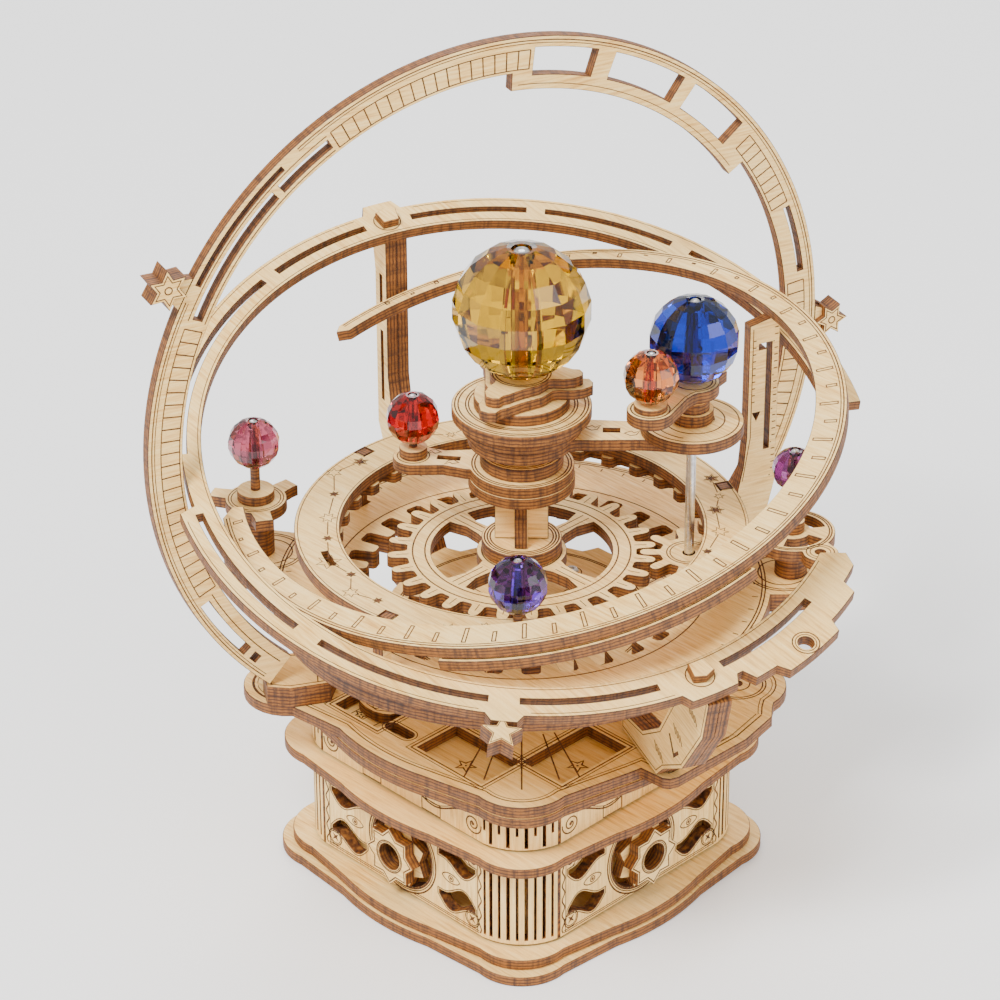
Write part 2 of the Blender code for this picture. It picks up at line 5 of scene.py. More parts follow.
import bmesh
import bpy
from mathutils import Matrix, Vector


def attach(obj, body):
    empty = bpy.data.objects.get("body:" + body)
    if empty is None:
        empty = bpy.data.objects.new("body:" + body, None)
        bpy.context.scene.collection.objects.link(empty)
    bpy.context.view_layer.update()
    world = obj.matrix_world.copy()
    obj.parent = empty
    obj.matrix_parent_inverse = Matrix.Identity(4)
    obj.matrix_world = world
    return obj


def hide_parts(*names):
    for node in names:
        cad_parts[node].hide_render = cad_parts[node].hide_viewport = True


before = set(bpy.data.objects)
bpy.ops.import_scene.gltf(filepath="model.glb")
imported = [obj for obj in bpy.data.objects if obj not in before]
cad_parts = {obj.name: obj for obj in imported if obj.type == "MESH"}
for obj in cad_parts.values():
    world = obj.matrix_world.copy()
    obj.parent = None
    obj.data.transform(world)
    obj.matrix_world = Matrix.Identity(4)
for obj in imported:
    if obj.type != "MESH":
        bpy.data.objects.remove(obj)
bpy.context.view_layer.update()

MM = 0.001
PLY = 3.0                    # sheet thickness
GAP = 0.3                    # clearance between neighbouring pieces
CUT = PLY - GAP              # drawn thickness of a stacked sheet
LEAF = PLY - 0.02            # and of each half of a doubled post
LINE_BOLD = 1.3              # engraved lines are drawn this much wider than listed
SMOOTH_SHEET = 25.0          # edges flatter than this are shaded smooth, degrees
SMOOTH_TURNED = 30.0

# Base and deck: (side distance, half width of the middle bulge, diagonal reach)
FOOT_LOWER = (48.2, 15.0, 61.0)
FOOT_UPPER = (47.4, 15.0, 58.2)
MIDDLE = (47.6, 15.4, 59.6)
DECK = (48.3, 14.5, 58.2)
BASE_AT = (-1.4, 1.4)        # centre of the base below the deck
LOBE_R = 12.8                # radius of the corner lobes
BULGE = 1.8                  # how far the middle of a side bulges
Z_WALL = (6.3, 30.5)
Z_MIDDLE = 30.8
Z_FRIEZE = (34.1, 45.4)
Z_DECK = 45.7
DECK_TOP = 51.7

# Walls: bent sheets with a fluted corner
WALL_FACE = 41.6             # outer face of a wall from the base's centre
WALL_HALF = 28.4             # half length of its flat part
CORNER_R = 15.6              # outer radius of the fluted corner
SLATS = 9
CORNER_RUN = 20.0            # length of the fluted corner along the sheet
WAVE_HALF = 3.0              # half height of a wavy window
ROSETTE_OPENING = 10.2
ROSETTE_PROUD = 4.5          # a rosette's front stands this far out of its wall

# Sphere rings: centre, tilt, azimuth the normal leans to, inner and outer radius
SLOTTED_C = (0.0, 0.0, 117.1)
SLOTTED_TILT = (18.0, -30.0)
SLOTTED_R = (76.7, 85.3)
SLOTTED_SPAN = (59.0, 382.0)
SLOTTED_NOTCHES = (85.0, 240.0)   # azimuths of the dips in its rim
SLOTTED_LUGS = ((160.5, 3.5, 3.0), (313.0, 2.5, 2.0), (345.6, 4.5, 2.4))   # azimuth, half width, rise
GRAD_C = (2.6, 0.2, 119.6)
GRAD_TILT = (13.8, -97.2)
GRAD_R = (69.8, 76.0)
GRAD_SPAN = (234.5, 534.5)
GRAD_SWELL = (1.0, 1.4, -15.0)   # outer and inner edge swell, and where the band is widest
MERIDIAN_AZ = 72.7
MERIDIAN_C = (1.1, 124.3)    # along its plane, height
MERIDIAN_OFF = -17.6         # plane's distance from the axis
MERIDIAN_R = (82.0, 90.8)
MERIDIAN_SPAN = (-52.4, 226.8)
MERIDIAN_DEEP = (77.6, 34.0, 86.6)   # inner radius and span of its wider stretch

# Gear stage
STAGE_Z = 67.0
STAGE_TOP = 70.0             # floor of the pictures inside the sun gear
LOWER_RING_Z = 75.0
LOWER_RING_DEEP = 5.0
SUN_GEAR_Z = 85.0
UPPER_RING_Z = 89.5
STAR_RING_Z = 92.5
STAR_RING_R = (44.2, 55.2)
PILLARS = (183.0, 279.0, 65.0)   # azimuths of the posts under the star ring
PILLAR_FEET = (52.0, 72.5, 52.0)
MODULE = 2.2
SUN_TEETH = 28
PINION_TEETH = 9
EARTH_R = MODULE * (SUN_TEETH + PINION_TEETH) / 2
QUARTERS = (0, 90, 180, 270)

# Rotating stack
COLUMN_Z = (92.1, 106.2)
INNER_ARM_Z = 106.5
INNER_LEAF = 2.8
OUTER_ARM_Z = 118.6
SWIRL_Z = (131.4, 134.1)
SWIRL_LEAF = 2.6
EARTH_AZ = 43.0
RED_AZ = 217.0
RED_R = 26.4
MOON_R = 17.5
MOON_AZ = 278.0
MOON_ARM_Z = 132.3

# Beads: radius, height of centre; and the seats as radius, azimuth
SUN_BEAD = (16.6, 153.5)
BLUE_BEAD = (10.8, 146.5)
ORANGE_BEAD = (6.6, 143.8)
RED_BEAD = (6.5, 122.6)
PINK_BEAD = (6.4, 110.5)
PURPLE_BEAD = (5.5, 109.0)
VIOLET_BEAD = (7.0, 107.8)
PINK_AT = (66.6, 213.7)
PURPLE_AT = (66.0, 47.3)
VIOLET_AT = (49.5, -46.0)
PINK_Z = 92.0                # undersides of the two outer seats
PURPLE_Z = 89.0
KEY_Z = 16.9

# Scorched arris of the sheets, millimetres
BEVEL = 0.13
RING_BEVEL = 0.16
BASE_BEVEL = 0.2

# Studio, metres: lamps are name, place, side, power
FLOOR_HALF = 6.0
WORLD_LIGHT = 0.95
LAMPS = (("key", (0.15, -0.95, 1.35), 0.45, 36.0), ("fill", (1.3, 0.2, 0.7), 0.9, 10.0),
         ("rim", (-0.7, 0.8, 1.0), 0.8, 10.0))
LOOK_AT = (0.0, 0.0, 0.1)

# Camera, metres and degrees
CAMERA_AT = (0.5657, -0.5657, 0.5610)
CAMERA_TURN = (60.15, 0.0, 45.0)
CAMERA_LENS = 137.28
CAMERA_SHIFT = -0.0217


# ---------------------------------------------------------------- node trees

def node(tree, kind, inputs=None, **props):
    """Adds a node; inputs are values or sockets, keyed by input name or index."""
    made = tree.nodes.new(kind)
    for key, value in props.items():
        setattr(made, key, value)
    for key, value in (inputs or {}).items():
        if isinstance(value, bpy.types.NodeSocket):
            tree.links.new(value, made.inputs[key])
        else:
            made.inputs[key].default_value = value
    return made


def maths(tree, operation, a, b=0.0):
    return node(tree, "ShaderNodeMath", {0: a, 1: b}, operation=operation).outputs[0]


def dot(tree, vector, direction):
    made = node(tree, "ShaderNodeVectorMath", {0: vector, 1: direction}, operation="DOT_PRODUCT")
    return made.outputs["Value"]


def ramp(tree, value, stops):
    made = node(tree, "ShaderNodeValToRGB", {0: value})
    bar = made.color_ramp.elements
    while len(bar) < len(stops):
        bar.new(0.5)
    for element, (place, colour) in zip(bar, stops):
        element.position = place
        element.color = (*colour, 1.0)
    return made.outputs["Color"]


def mix(tree, share, a, b):
    made = node(tree, "ShaderNodeMix", data_type="RGBA")
    for index, value in ((0, share), (6, a), (7, b)):
        if isinstance(value, bpy.types.NodeSocket):
            tree.links.new(value, made.inputs[index])
        else:
            made.inputs[index].default_value = value if index == 0 else (*value, 1.0)
    return made.outputs[2]


def noise(tree, vector, scale, detail=2.0, rough=0.5):
    return node(tree, "ShaderNodeTexNoise", {"Vector": vector, "Scale": scale, "Detail": detail,
                                             "Roughness": rough}).outputs["Fac"]


def spread(tree, value, low, high, to_low=0.0, to_high=1.0):
    made = node(tree, "ShaderNodeMapRange", {0: value, 1: low, 2: high, 3: to_low, 4: to_high})
    return made.outputs[0]


def object_at(tree):
    return node(tree, "ShaderNodeTexCoord").outputs["Object"]


def emboss(tree, shader, strength, distance, height):
    bump = node(tree, "ShaderNodeBump", {"Strength": strength, "Distance": distance, "Height": height})
    tree.links.new(bump.outputs[0], shader.inputs["Normal"])


def blank(name, roughness, metallic=0.0):
    mat = bpy.data.materials.new(name)
    mat.use_nodes = True
    shader = mat.node_tree.nodes["Principled BSDF"]
    shader.inputs["Roughness"].default_value = roughness
    shader.inputs["Metallic"].default_value = metallic
    return mat, mat.node_tree, shader


# ----------------------------------------------------------------- materials

FACE_DARK = (0.60, 0.30, 0.065)
FACE_MID = (0.87, 0.535, 0.155)
FACE_PALE = (0.96, 0.69, 0.29)
CUT_DARK = (0.030, 0.008, 0.0015)
CUT_BROWN = (0.125, 0.037, 0.0045)
CUT_AMBER = (0.33, 0.115, 0.015)

made_ply = {}


def face_colour(tree, place, grain):
    cloud = noise(tree, place, 42.0, 2.0)
    speck = noise(tree, place, 2600.0, 1.0)
    face = ramp(tree, grain, [(0.30, FACE_DARK), (0.50, FACE_MID), (0.72, FACE_PALE)])
    face = mix(tree, spread(tree, cloud, 0.35, 0.7, 0.0, 0.55), face, FACE_PALE)
    return mix(tree, spread(tree, speck, 0.60, 0.78, 0.0, 0.35), face, FACE_DARK)


def ply(normal, low):
    """Laser-cut birch plywood: pale faces across normal, scorched layered edges between."""
    n = Vector(normal).normalized()
    if max(n, key=abs) < 0:
        n = -n
    key = tuple(round(c, 3) for c in n) + (round(low, 4),)
    if key in made_ply:
        return made_ply[key]
    along = Vector((1, 0, 0)) if abs(n.z) > 0.6 else n.cross(Vector((0, 0, 1)))
    along = (along - n * along.dot(n)).normalized()
    across = n.cross(along)
    mat, tree, shader = blank("birch_ply_%02d" % len(made_ply), 0.62)
    coord = node(tree, "ShaderNodeTexCoord")
    place = coord.outputs["Object"]
    depth = dot(tree, place, n)
    facing = maths(tree, "ABSOLUTE", dot(tree, coord.outputs["Normal"], n))
    on_face = spread(tree, facing, 0.86, 0.95)

    grain_at = node(tree, "ShaderNodeCombineXYZ", {
        0: maths(tree, "MULTIPLY", dot(tree, place, along), 0.07),
        1: dot(tree, place, across), 2: depth}).outputs[0]
    grain = noise(tree, grain_at, 1500.0, 3.0, 0.6)
    face = face_colour(tree, place, grain)

    layer = maths(tree, "FRACT", maths(tree, "MULTIPLY", maths(tree, "SUBTRACT", depth, low), 1000.0 / PLY))
    waver = noise(tree, place, 420.0, 3.0, 0.65)
    layer = maths(tree, "ADD", layer, spread(tree, waver, 0.3, 0.7, -0.05, 0.05))
    bands = ramp(tree, layer, [
        (0.00, CUT_DARK), (0.08, CUT_BROWN), (0.26, CUT_AMBER), (0.33, CUT_DARK), (0.38, CUT_BROWN),
        (0.52, CUT_AMBER), (0.64, CUT_BROWN), (0.69, CUT_DARK), (0.76, CUT_AMBER), (0.93, CUT_BROWN),
        (1.00, CUT_DARK)])
    streak_at = node(tree, "ShaderNodeCombineXYZ", {
        0: dot(tree, place, along), 1: dot(tree, place, across),
        2: maths(tree, "MULTIPLY", depth, 0.12)}).outputs[0]
    streak = noise(tree, streak_at, 900.0, 2.0, 0.6)
    bands = mix(tree, spread(tree, streak, 0.42, 0.70, 0.0, 0.75), bands, CUT_DARK)
    bands = mix(tree, spread(tree, waver, 0.55, 0.75, 0.0, 0.5), bands, CUT_AMBER)

    tree.links.new(mix(tree, on_face, bands, face), shader.inputs["Base Color"])
    rough = spread(tree, grain, 0.3, 0.7, 0.72, 0.52)
    tree.links.new(rough, shader.inputs["Roughness"])
    height = maths(tree, "ADD", grain, maths(tree, "MULTIPLY", streak,
                                             maths(tree, "SUBTRACT", 1.3, on_face)))
    emboss(tree, shader, 0.22, 0.00012, height)
    made_ply[key] = mat
    return mat


def bent_ply(name, cut):
    """The same plywood on a bent wall: its face, or its scorched cut edge."""
    mat, tree, shader = blank(name, 0.65)
    place = object_at(tree)
    grain_at = node(tree, "ShaderNodeVectorMath", {0: place, 1: (1.0, 1.0, 0.08)},
                    operation="MULTIPLY").outputs[0]
    grain = noise(tree, grain_at, 1500.0, 3.0, 0.6)
    if cut:
        colour = ramp(tree, noise(tree, place, 700.0, 3.0, 0.6),
                      [(0.35, CUT_DARK), (0.5, CUT_BROWN), (0.7, CUT_AMBER)])
    else:
        colour = face_colour(tree, place, grain)
    tree.links.new(colour, shader.inputs["Base Color"])
    tree.links.new(spread(tree, grain, 0.3, 0.7, 0.74, 0.55), shader.inputs["Roughness"])
    emboss(tree, shader, 0.22, 0.00012, grain)
    return mat


def scorched():
    """Engraved lines, burnt into the sheet."""
    mat, tree, shader = blank("scorched_line", 0.85)
    place = object_at(tree)
    burn = noise(tree, place, 900.0, 2.0)
    colour = ramp(tree, burn, [(0.3, (0.030, 0.010, 0.002)), (0.7, (0.15, 0.050, 0.010))])
    tree.links.new(colour, shader.inputs["Base Color"])
    emboss(tree, shader, 0.4, 0.00008, burn)
    return mat


def metal(name, colour, dark, roughness):
    mat, tree, shader = blank(name, roughness, 1.0)
    place = object_at(tree)
    wear = noise(tree, place, 700.0, 4.0, 0.6)
    tree.links.new(ramp(tree, wear, [(0.3, dark), (0.65, colour)]), shader.inputs["Base Color"])
    tree.links.new(spread(tree, wear, 0.3, 0.7, roughness + 0.1, roughness - 0.08),
                   shader.inputs["Roughness"])
    emboss(tree, shader, 0.12, 0.00005, wear)
    return mat


def acrylic(name, deep, body, pale):
    """Clear coloured plastic; each flat takes a random tint from a darker copy of the colour (painted
    shade) through the colour to a paler copy (painted glint), standing in for the way the flats catch the
    light.
    """
    mat, tree, shader = blank(name, 0.03)
    coord = node(tree, "ShaderNodeTexCoord")
    flat_n = node(tree, "ShaderNodeVectorMath", {0: coord.outputs["Normal"], 1: (0.02, 0.02, 0.02)},
                  operation="SNAP").outputs[0]
    painted_facet_light = node(tree, "ShaderNodeTexWhiteNoise", {"Vector": flat_n}, noise_dimensions="3D").outputs["Value"]
    haze = noise(tree, coord.outputs["Object"], 240.0, 2.0)
    # painted facet shade and glints: a random pick per flat between the deep tint (painted shade), the body
    # colour and the pale tint (painted glint)
    tint = ramp(tree, painted_facet_light, [(0.0, deep), (0.45, body), (0.86, body), (1.0, pale)])
    tint = mix(tree, spread(tree, haze, 0.35, 0.7, 0.0, 0.35), tint, body)
    tree.links.new(tint, shader.inputs["Base Color"])
    tree.links.new(spread(tree, haze, 0.3, 0.7, 0.02, 0.06), shader.inputs["Roughness"])
    shader.inputs["Transmission Weight"].default_value = 1.0
    shader.inputs["IOR"].default_value = 1.49
    shader.inputs["Specular IOR Level"].default_value = 0.35
    emboss(tree, shader, 0.05, 0.00005, haze)
    return mat


STEEL = metal("steel_plate", (0.72, 0.72, 0.73), (0.45, 0.45, 0.46), 0.30)
BRASS = metal("brass_plate", (0.80, 0.60, 0.26), (0.52, 0.36, 0.13), 0.33)
LINE = scorched()
WALL_FACE_MAT = bent_ply("birch_ply_bent_face", False)
WALL_EDGE_MAT = bent_ply("birch_ply_bent_edge", True)
# the pin's deep and pale tints are painted shade and painted glints; the middle tint is its own colour
CLEAR_YELLOW = acrylic("acrylic_yellow_pin", (0.85, 0.60, 0.02), (1.0, 0.86, 0.25), (1.0, 0.95, 0.7))
# Material name, then the deep, middle and pale tint
# the deep tint is painted shade and the pale tint a painted glint on the flats; the middle tint is the
# plastic's own colour
BEAD_TINTS = {
    "sun_bead": ("acrylic_yellow", (0.10, 0.040, 0.0), (0.56, 0.30, 0.0), (0.90, 0.56, 0.0)),
    "blue_bead": ("acrylic_blue", (0.0, 0.002, 0.06), (0.002, 0.020, 0.34), (0.10, 0.22, 0.80)),
    "orange_bead": ("acrylic_orange", (0.13, 0.02, 0.0), (0.62, 0.15, 0.012), (0.90, 0.42, 0.17)),
    "red_bead": ("acrylic_red", (0.08, 0.0, 0.0), (0.46, 0.002, 0.002), (0.85, 0.10, 0.07)),
    "pink_bead": ("acrylic_pink", (0.07, 0.004, 0.014), (0.42, 0.075, 0.12), (0.85, 0.42, 0.47)),
    "purple_bead": ("acrylic_purple", (0.03, 0.001, 0.02), (0.20, 0.030, 0.14), (0.55, 0.30, 0.50)),
    "violet_bead": ("acrylic_violet", (0.012, 0.001, 0.09), (0.10, 0.024, 0.48), (0.45, 0.36, 0.90)),
}
BEADS = {bead: acrylic(*tints) for bead, tints in BEAD_TINTS.items()}

# The movement is carried over from the CAD as it is; every other node is replaced
METALS = {"movement_bedplate": BRASS, "spring_barrel": BRASS, "pin_cylinder": BRASS,
          "tone_comb": STEEL, "governor": STEEL}

for metal_name, metal_mat in METALS.items():
    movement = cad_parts[metal_name].data
    movement.materials.clear()
    movement.materials.append(metal_mat)


# ---------------------------------------------------------------- outlines

def polar(r, deg, centre=(0.0, 0.0)):
    a = math.radians(deg)
    return (centre[0] + r * math.cos(a), centre[1] + r * math.sin(a))


def arc(r, start, end, steps, centre=(0.0, 0.0)):
    return [polar(r, start + (end - start) * i / steps, centre) for i in range(steps + 1)]


def circle(r, steps, centre=(0.0, 0.0), start=0.0):
    return [polar(r, start + 360.0 * i / steps, centre) for i in range(steps)]


def box(x0, x1, y0, y1):
    return [(x0, y0), (x1, y0), (x1, y1), (x0, y1)]


def turn(points, deg):
    c, s = math.cos(math.radians(deg)), math.sin(math.radians(deg))
    return [(x * c - y * s, x * s + y * c) for x, y in points]


def shift(points, dx, dy):
    return [(x + dx, y + dy) for x, y in points]


def star(points, r_tip, r_notch, start=0.0, centre=(0.0, 0.0)):
    step = 180.0 / points
    return [polar(r_notch if i % 2 else r_tip, start + i * step, centre) for i in range(2 * points)]


def ring(width, r, steps, centre=(0.0, 0.0)):
    """Engraved circle."""
    return (circle(r, steps, centre), True, width)


def spoke(r0, r1, deg, width):
    """Engraved radial line."""
    return ([polar(r0, deg), polar(r1, deg)], False, width)


def ring_sector(r_in, r_out, start, end, steps):
    return arc(r_out, start, end, steps) + arc(r_in, end, start, steps)


def spiral(r0, r1, start, sweep, centre, steps):
    return [polar(r0 + (r1 - r0) * i / steps, start + sweep * i / steps, centre)
            for i in range(steps + 1)]


def scallop(plan, at=(0.0, 0.0)):
    """Square sheet with round corner lobes and a bulge in each side."""
    side, half, reach_out = plan
    lobe = (reach_out - LOBE_R) / math.sqrt(2)
    quarter = [(side + BULGE * (1 - (t / 8) ** 2), half * t / 8) for t in range(8)]
    quarter.append((side, half))
    quarter += arc(LOBE_R, -8, 98, 18, (lobe, lobe))
    quarter.append((half, side))
    quarter += [(half * t / 8, side + BULGE * (1 - (t / 8) ** 2)) for t in range(7, 0, -1)]
    points = []
    for k in range(4):
        points += turn(quarter, 90 * k)
    return shift(points, *at)


def reach(points, deg):
    """Distance from the origin to the outermost crossing with a ray."""
    dx, dy = math.cos(math.radians(deg)), math.sin(math.radians(deg))
    best = 0.0
    for (ax, ay), (bx, by) in zip(points, points[1:] + points[:1]):
        ca, cb = dx * ay - dy * ax, dx * by - dy * bx
        if abs(ca - cb) < 1e-9 or ca * cb > 1e-12:
            continue
        t = ca / (ca - cb)
        best = max(best, dx * (ax + t * (bx - ax)) + dy * (ay + t * (by - ay)))
    return best


def merged(*shapes):
    """Outline around several shapes that overlap, seen from the origin."""
    angles = sorted({round(math.degrees(math.atan2(y, x)), 2) for s in shapes for x, y in s})
    kept = [angles[0]]
    for a in angles[1:]:
        if a - kept[-1] > 0.25:
            kept.append(a)
    return [polar(max(reach(s, a) for s in shapes), a) for a in kept]


def external_gear(teeth, slim, start):
    """Rounded teeth on a disc; slim is the tooth's share of the pitch."""
    pitch_r = MODULE * teeth / 2
    root, tip = pitch_r - 1.25 * MODULE, pitch_r + 0.95 * MODULE
    w = 360.0 / teeth * slim / 2
    flank = ((root, -1.45), (root + 0.5, -1.16), (pitch_r, -1.0), (tip - 0.9, -0.82), (tip - 0.35, -0.55),
             (tip - 0.06, -0.22))
    points = []
    for k in range(teeth):
        a = start + k * 360.0 / teeth
        points += [polar(r, a + f * w) for r, f in flank]
        points += [polar(r, a - f * w) for r, f in reversed(flank)]
    return points


def internal_teeth(teeth, r_root, r_tip):
    """Rounded teeth pointing to the centre."""
    pitch = 360.0 / teeth
    flank = ((r_root, -0.34), (r_root - 0.6, -0.27), (r_tip + 0.8, -0.21), (r_tip + 0.2, -0.12))
    points = []
    for k in range(teeth):
        a = k * pitch
        points += [polar(r, a + f * pitch) for r, f in flank]
        points += [polar(r, a - f * pitch) for r, f in reversed(flank)]
    return points


def wave_window(x0, x1, centre, rise):
    """Tilde-shaped window, pointed at both ends."""
    steps, top, bottom = 14, [], []
    for i in range(steps + 1):
        t = i / steps
        x = x0 + (x1 - x0) * t
        mid = centre + rise * math.sin(2 * math.pi * t)
        h = WAVE_HALF * (0.2 + 0.8 * math.sin(math.pi * t))
        top.append((x, mid + h))
        bottom.append((x, mid - h))
    return bottom + top[::-1]


# ------------------------------------------------------------------ places

def flat(z, x=0.0, y=0.0, spin=0.0):
    return Matrix.Translation((x * MM, y * MM, z * MM)) @ Matrix.Rotation(math.radians(spin), 4, "Z")


def tilted(centre, tilt):
    lean, az = math.radians(tilt[0]), math.radians(tilt[1])
    spin = Matrix.Rotation(az, 4, "Z") @ Matrix.Rotation(lean, 4, "Y") @ Matrix.Rotation(-az, 4, "Z")
    return Matrix.Translation(Vector(centre) * MM) @ spin @ Matrix.Translation((0, 0, -PLY / 2 * MM))


def upright(az, off=0.0, along=0.0, z=0.0, thick=PLY):
    """Local X runs along azimuth az, local Y is up, the sheet is centred on its plane."""
    a = math.radians(az)
    d, n = Vector((math.cos(a), math.sin(a), 0.0)), Vector((math.sin(a), -math.cos(a), 0.0))
    origin = (d * along + n * (off - thick / 2) + Vector((0, 0, z))) * MM
    return Matrix.Translation(origin) @ Matrix((d, (0, 0, 1), n)).transposed().to_4x4()


def raised(place, height):
    return place @ Matrix.Translation((0, 0, height * MM))


def wall_point(s, depth, turn_deg):
    """Maps the run along a bent wall and the depth behind its face to plan."""
    if s <= 2 * WALL_HALF:
        p = (-WALL_HALF + s, -(WALL_FACE - depth))
    else:
        half_chord = (WALL_FACE - WALL_HALF) / math.sqrt(2)
        drop = math.sqrt(CORNER_R ** 2 - half_chord ** 2)
        mid = (WALL_HALF + WALL_FACE) / 2
        c = (mid - drop / math.sqrt(2), -(mid - drop / math.sqrt(2)))
        sweep = 2 * math.degrees(math.asin(half_chord / CORNER_R))
        a = -45 - sweep / 2 + (s - 2 * WALL_HALF) / CORNER_RUN * sweep
        p = polar(CORNER_R - depth, a, c)
    return shift(turn([p], turn_deg), *BASE_AT)[0]


def on_wall(turn_deg):
    """Place for a bent wall: run, height and distance in front of the wall's back."""
    def place(s, z, out):
        x, y = wall_point(s, PLY - out, turn_deg)
        if s > 2 * WALL_HALF + CORNER_RUN - 0.1:
            gap_x, gap_y = turn([(0.0, -0.8)], turn_deg)[0]
            x, y = x + gap_x, y + gap_y
        return Vector((x, y, z)) * MM
    return place


# ------------------------------------------------------------------ solids

def oriented(loop, ccw):
    area = sum(ax * by - bx * ay for (ax, ay), (bx, by) in zip(loop, loop[1:] + loop[:1]))
    return loop if (area > 0) == ccw else loop[::-1]


def offset(loop, distance, closed=True):
    """Moves a line sideways, to its left for a positive distance."""
    out, last = [], len(loop) - 1
    for i, (bx, by) in enumerate(loop):
        ax, ay = loop[i - 1] if closed or i else loop[0]
        cx, cy = loop[(i + 1) % len(loop)] if closed or i < last else loop[last]
        u, v = Vector((bx - ax, by - ay)), Vector((cx - bx, cy - by))
        u = u.normalized() if u.length > 1e-9 else v.normalized()
        v = v.normalized() if v.length > 1e-9 else u
        n, m = Vector((-u.y, u.x)), Vector((-v.y, v.x))
        k = distance / max(0.5, 1 + n.dot(m))
        out.append((bx + (n.x + m.x) * k, by + (n.y + m.y) * k))
    return out


def inset(loop, distance):
    """A closed outline drawn in by a distance, or out by a negative one."""
    return offset(oriented(loop, True), distance)


def settle(bm, place):
    """Millimetres in a sheet's own frame to metres in the row frame."""
    for v in bm.verts:
        v.co = place(*v.co) if callable(place) else place @ (v.co * MM)


def add_piece(name, bm, mats, body, nodes=(), smooth=SMOOTH_SHEET):
    bmesh.ops.recalc_face_normals(bm, faces=bm.faces)
    mesh = bpy.data.meshes.new(name)
    bm.to_mesh(mesh)
    bm.free()
    for mat in mats:
        mesh.materials.append(mat)
    if smooth:
        mesh.shade_smooth()
        mesh.set_sharp_from_angle(angle=math.radians(smooth))
    obj = bpy.data.objects.new(name, mesh)
    bpy.context.scene.collection.objects.link(obj)
    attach(obj, body)
    if nodes:
        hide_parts(*nodes)
    return obj


def add_prism(bm, loops, levels):
    """Closed prism through (height, inset) levels; its caps are filled, holes left open."""
    loops = [oriented(loop, i == 0) for i, loop in enumerate(loops)]
    rings = [[[bm.verts.new((x, y, z)) for x, y in offset(loop, inset)] for loop in loops]
             for z, inset in levels]
    for cap in (rings[0], rings[-1]):
        edges = [bm.edges.new((ring[i - 1], ring[i])) for ring in cap for i in range(len(ring))]
        bmesh.ops.triangle_fill(bm, use_beauty=True, use_dissolve=False, edges=edges)
    for low, high in zip(rings, rings[1:]):
        for a, b in zip(low, high):
            for i in range(len(a)):
                face = bm.faces.new((a[i - 1], a[i], b[i], b[i - 1]))
                face.material_index = 1


def plate(name, loops, thick, place, nodes=(), body="case", mats=None, bevel=BEVEL):
    """Laser-cut sheet with a fine scorched arris, extruded along local Z."""
    bm = bmesh.new()
    add_prism(bm, loops, [(0.0, bevel), (bevel, 0.0), (thick - bevel, 0.0), (thick, bevel)])
    if mats is None:
        for face in bm.faces:
            face.material_index = 0
        across = place.to_3x3() @ Vector((0, 0, 1))
        foot, top = place.translation, raised(place, thick).translation
        mats = [ply(across, min(across.dot(foot), across.dot(top)))]
    settle(bm, place)
    return add_piece(name, bm, mats, body, nodes)


def engrave(name, lines, place, face, body="case", width=0.28, blots=()):
    """Burnt lines just proud of a face: (points, closed[, width]), and filled dark shapes."""
    bm = bmesh.new()
    low, high = face - 0.06, face + 0.03
    for line in lines:
        points, closed = line[0], line[1]
        half = (line[2] if len(line) > 2 else width) * LINE_BOLD / 2
        left, right = offset(points, half, closed), offset(points, -half, closed)
        rows = [[bm.verts.new((x, y, z)) for x, y in side] for side, z in
                ((left, high), (right, high), (right, low), (left, low))]
        count = len(points)
        for i in range(count if closed else count - 1):
            j = (i + 1) % count
            for a, b in zip(rows, rows[1:] + rows[:1]):
                bm.faces.new((a[i], a[j], b[j], b[i]))
        if not closed:
            for i in (0, count - 1):
                bm.faces.new([row[i] for row in rows])
    for loop in blots:
        add_prism(bm, [loop], [(low, 0.0), (high, 0.0)])
    for f in bm.faces:
        f.material_index = 0
    settle(bm, place)
    return add_piece(name, bm, [LINE], body, smooth=None)


def turned(name, profile, mats, at=(0.0, 0.0), steps=48, body="rotor", nodes=(),
           closed=False):
    """Turned piece: (radius, height) pairs; closed for a profile with a bore."""
    bm = bmesh.new()
    rings = []
    for r, z in profile:
        count = 1 if r == 0 else steps
        rings.append([bm.verts.new((*polar(r, 360.0 * i / steps, at), z)) for i in range(count)])
    pairs = list(zip(rings, rings[1:])) + ([(rings[-1], rings[0])] if closed else [])
    for a, b in pairs:
        for i in range(steps):
            j = (i + 1) % steps
            corners = [a[i % len(a)], a[j % len(a)], b[j % len(b)], b[i % len(b)]]
            bm.faces.new(list(dict.fromkeys(corners)))
    for v in bm.verts:
        v.co = v.co * MM
    return add_piece(name, bm, mats, body, nodes, SMOOTH_TURNED)


def rod(r, low, high):
    return [(0, low), (r, low), (r, high), (0, high)]


def cup(name, r, span, pin, top, low, at, body, nodes=(), foot=0.1):
    """Turned bead seat: a drum over span with a thin pin up to top."""
    z0, z1 = span
    turned(name, [(0, z0), (r - 0.1, z0), (r, z0 + foot), (r, z1 - 0.1), (r - 0.1, z1), (pin, z1),
                  (pin, top), (0, top)],
           flat_ply(low), at, 32, body, nodes=nodes)


def rings_at(radii, steps=64, centre=(0.0, 0.0)):
    return [(circle(r, steps, centre), True) for r in radii]


def flat_ply(low):
    return [ply((0, 0, 1), low * MM)]


# -------------------------------------------------------------------- base

